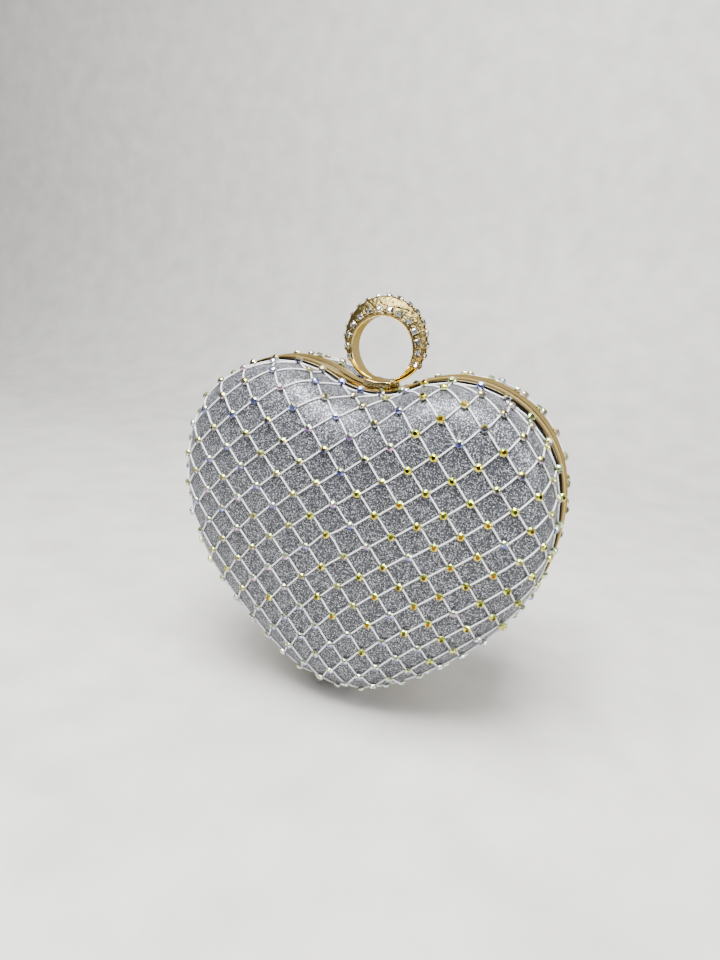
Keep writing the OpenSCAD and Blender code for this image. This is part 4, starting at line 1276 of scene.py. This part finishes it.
class OBJECT_OT_clutch_fittings(bpy.types.Operator):
    """Finish the hinge, the clasp and the moulded shells"""
    bl_idname = "object.clutch_fittings"
    bl_label = "Hinge and Clasp"

    def execute(self, context):
        for kind, nodes in (
                ("gilt", ("back_hinge_leaf", "front_hinge_leaf", "back_hinge_screws",
                          "front_hinge_screws", "clasp_bracket", "catch_plate")),
                ("steel", ("hinge_pin", "clasp_pin")),
                ("board", ("back_shell", "front_shell"))):
            for node in nodes:
                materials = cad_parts[node].data.materials
                materials.clear()
                materials.append(finish_of(kind))
        make_base(0.2)
        turns, radius, pitch, steps, wire = 3, 0.97, 0.44, 24, 0.17
        pin_depth, pin_height = 4.6, HOLLOW_Z + 1.1
        coil = []
        for k in range(turns * steps + 1):
            t = k / steps
            coil.append(Vector((t * pitch - turns * pitch / 2,
                                -(pin_depth + radius * math.cos(math.tau * t)),
                                pin_height - radius * math.sin(math.tau * t))))
        coil = [coil[0] + Vector((0, 0, 0.85))] + coil + [coil[-1] - Vector((0, 0, 0.8))]
        piece = cord_mesh("clasp_coil", [coil], wire * MM, side="back")
        smooth(piece, 80)
        dress(piece, "steel", "back_half", "steel", "clasp_spring")
        return {"FINISHED"}


class OBJECT_OT_clutch_stage(bpy.types.Operator):
    """Set the floor, the soft lights and the camera"""
    bl_idname = "object.clutch_stage"
    bl_label = "Floor, Lights and Camera"

    def execute(self, context):
        low = CAD_BOX[0][2] - FLOOR_DROP
        clear_selection()
        bpy.ops.mesh.primitive_plane_add(size=1)
        floor = named("floor")
        for vert in floor.data.vertices:
            vert.co = (FLOOR_WIDTH * vert.co.x, FLOOR_FRONT if vert.co.y < 0 else FLOOR_BACK, low)
            vert.select = vert.co.y > 0
        for edge in floor.data.edges:
            edge.select = all(floor.data.vertices[n].co.y > 0 for n in edge.vertices)
        for face in floor.data.polygons:
            face.select = False
        edit(floor, False)
        bpy.ops.mesh.spin(steps=16, angle=-math.pi / 2, axis=(1, 0, 0),
                          center=(0, FLOOR_BACK, low + WALL_BEND))
        bpy.ops.mesh.extrude_region_move(TRANSFORM_OT_translate={"value": (0, 0, WALL_HEIGHT)})
        leave()
        smooth(floor, 60)
        pale = plain_finish("pale_floor", (0.67, 0.66, 0.632), 0.55, grain=40.0)
        floor.data.materials.append(pale)

        world = bpy.data.worlds.new("studio")
        bpy.context.scene.world = world
        world.use_nodes = True
        tree = world.node_tree
        around = add_node(tree, "TexCoord").outputs["Generated"]
        way = add_node(tree, "SeparateXYZ", Vector=around).outputs
        sky = ramp(tree, spread(tree, way["Z"], From_Min=-1.0, From_Max=1.0), [
            (0.0, (0.1, 0.1, 0.11)), (0.35, (0.16, 0.16, 0.17)), (0.55, (0.46, 0.47, 0.5)),
            (0.8, (0.95, 0.97, 1.0)), (1.0, WHITE)])
        behind = spread(tree, way["Y"], From_Min=-0.9, From_Max=0.3, To_Min=0.35, To_Max=1.0)
        feed(tree, tree.nodes["Background"], Color=multiplied(tree, sky, behind), Strength=0.8)
        for name, place, aim, size, power in LIGHTS:
            data = bpy.data.lights.new(name, "AREA")
            data.energy, data.size = power, size
            light = linked(name, data)
            light.location = place
            light.rotation_euler = (Vector(aim) - Vector(place)).to_track_quat("-Z", "Y").to_euler()

        turn, rise, roll = (math.radians(n) for n in (VIEW_TURN, VIEW_RISE, VIEW_ROLL))
        right = Vector((math.cos(turn), math.sin(turn), 0))
        away = Vector((right.y * math.cos(rise), -right.x * math.cos(rise), math.sin(rise)))
        up = away.cross(right)
        right, up = (math.cos(roll) * right + math.sin(roll) * up,
                     math.cos(roll) * up - math.sin(roll) * right)
        data = bpy.data.cameras.new("camera")
        data.sensor_width, data.lens = SENSOR, FOCAL_SHARE * SENSOR
        camera = linked("camera", data)
        camera.matrix_world = (
            Matrix.Translation(placed(*(VIEW_AWAY * away + VIEW_RIGHT * right + VIEW_UP * up)))
            @ Matrix((right, up, away)).transposed().to_4x4())
        bpy.context.scene.camera = camera
        return {"FINISHED"}


STEPS = (OBJECT_OT_clutch_stage, OBJECT_OT_clutch_frames, OBJECT_OT_clutch_covers,
         OBJECT_OT_clutch_linings, OBJECT_OT_clutch_netting, OBJECT_OT_clutch_border_cords,
         OBJECT_OT_clutch_stones, OBJECT_OT_clutch_ring, OBJECT_OT_clutch_fittings)


class VIEW3D_PT_clutch(bpy.types.Panel):
    """Lists the clutch's settings and pieces"""
    bl_label = "Heart Clutch"
    bl_idname = "VIEW3D_PT_clutch"
    bl_space_type = "VIEW_3D"
    bl_region_type = "UI"
    bl_category = "Clutch"

    def draw(self, context):
        for group in (context.scene.clutch_sizes, context.scene.clutch_colours):
            for key in group.__annotations__:
                self.layout.prop(group, key)
        for step in STEPS:
            self.layout.operator(step.bl_idname)


CLASSES = (ClutchSizes, ClutchColours, *STEPS, VIEW3D_PT_clutch)


def register():
    for cls in CLASSES:
        bpy.utils.register_class(cls)
    bpy.types.Scene.clutch_sizes = PointerProperty(type=ClutchSizes)
    bpy.types.Scene.clutch_colours = PointerProperty(type=ClutchColours)


def unregister():
    del bpy.types.Scene.clutch_colours
    del bpy.types.Scene.clutch_sizes
    for cls in reversed(CLASSES):
        bpy.utils.unregister_class(cls)


def main():
    register()
    bpy.ops.object.clutch_stage()
    bpy.ops.object.clutch_frames()
    bpy.ops.object.clutch_covers()
    bpy.ops.object.clutch_linings()
    bpy.ops.object.clutch_netting()
    bpy.ops.object.clutch_border_cords()
    bpy.ops.object.clutch_stones()
    bpy.ops.object.clutch_ring()
    bpy.ops.object.clutch_fittings()


if __name__ == "__main__":
    main()
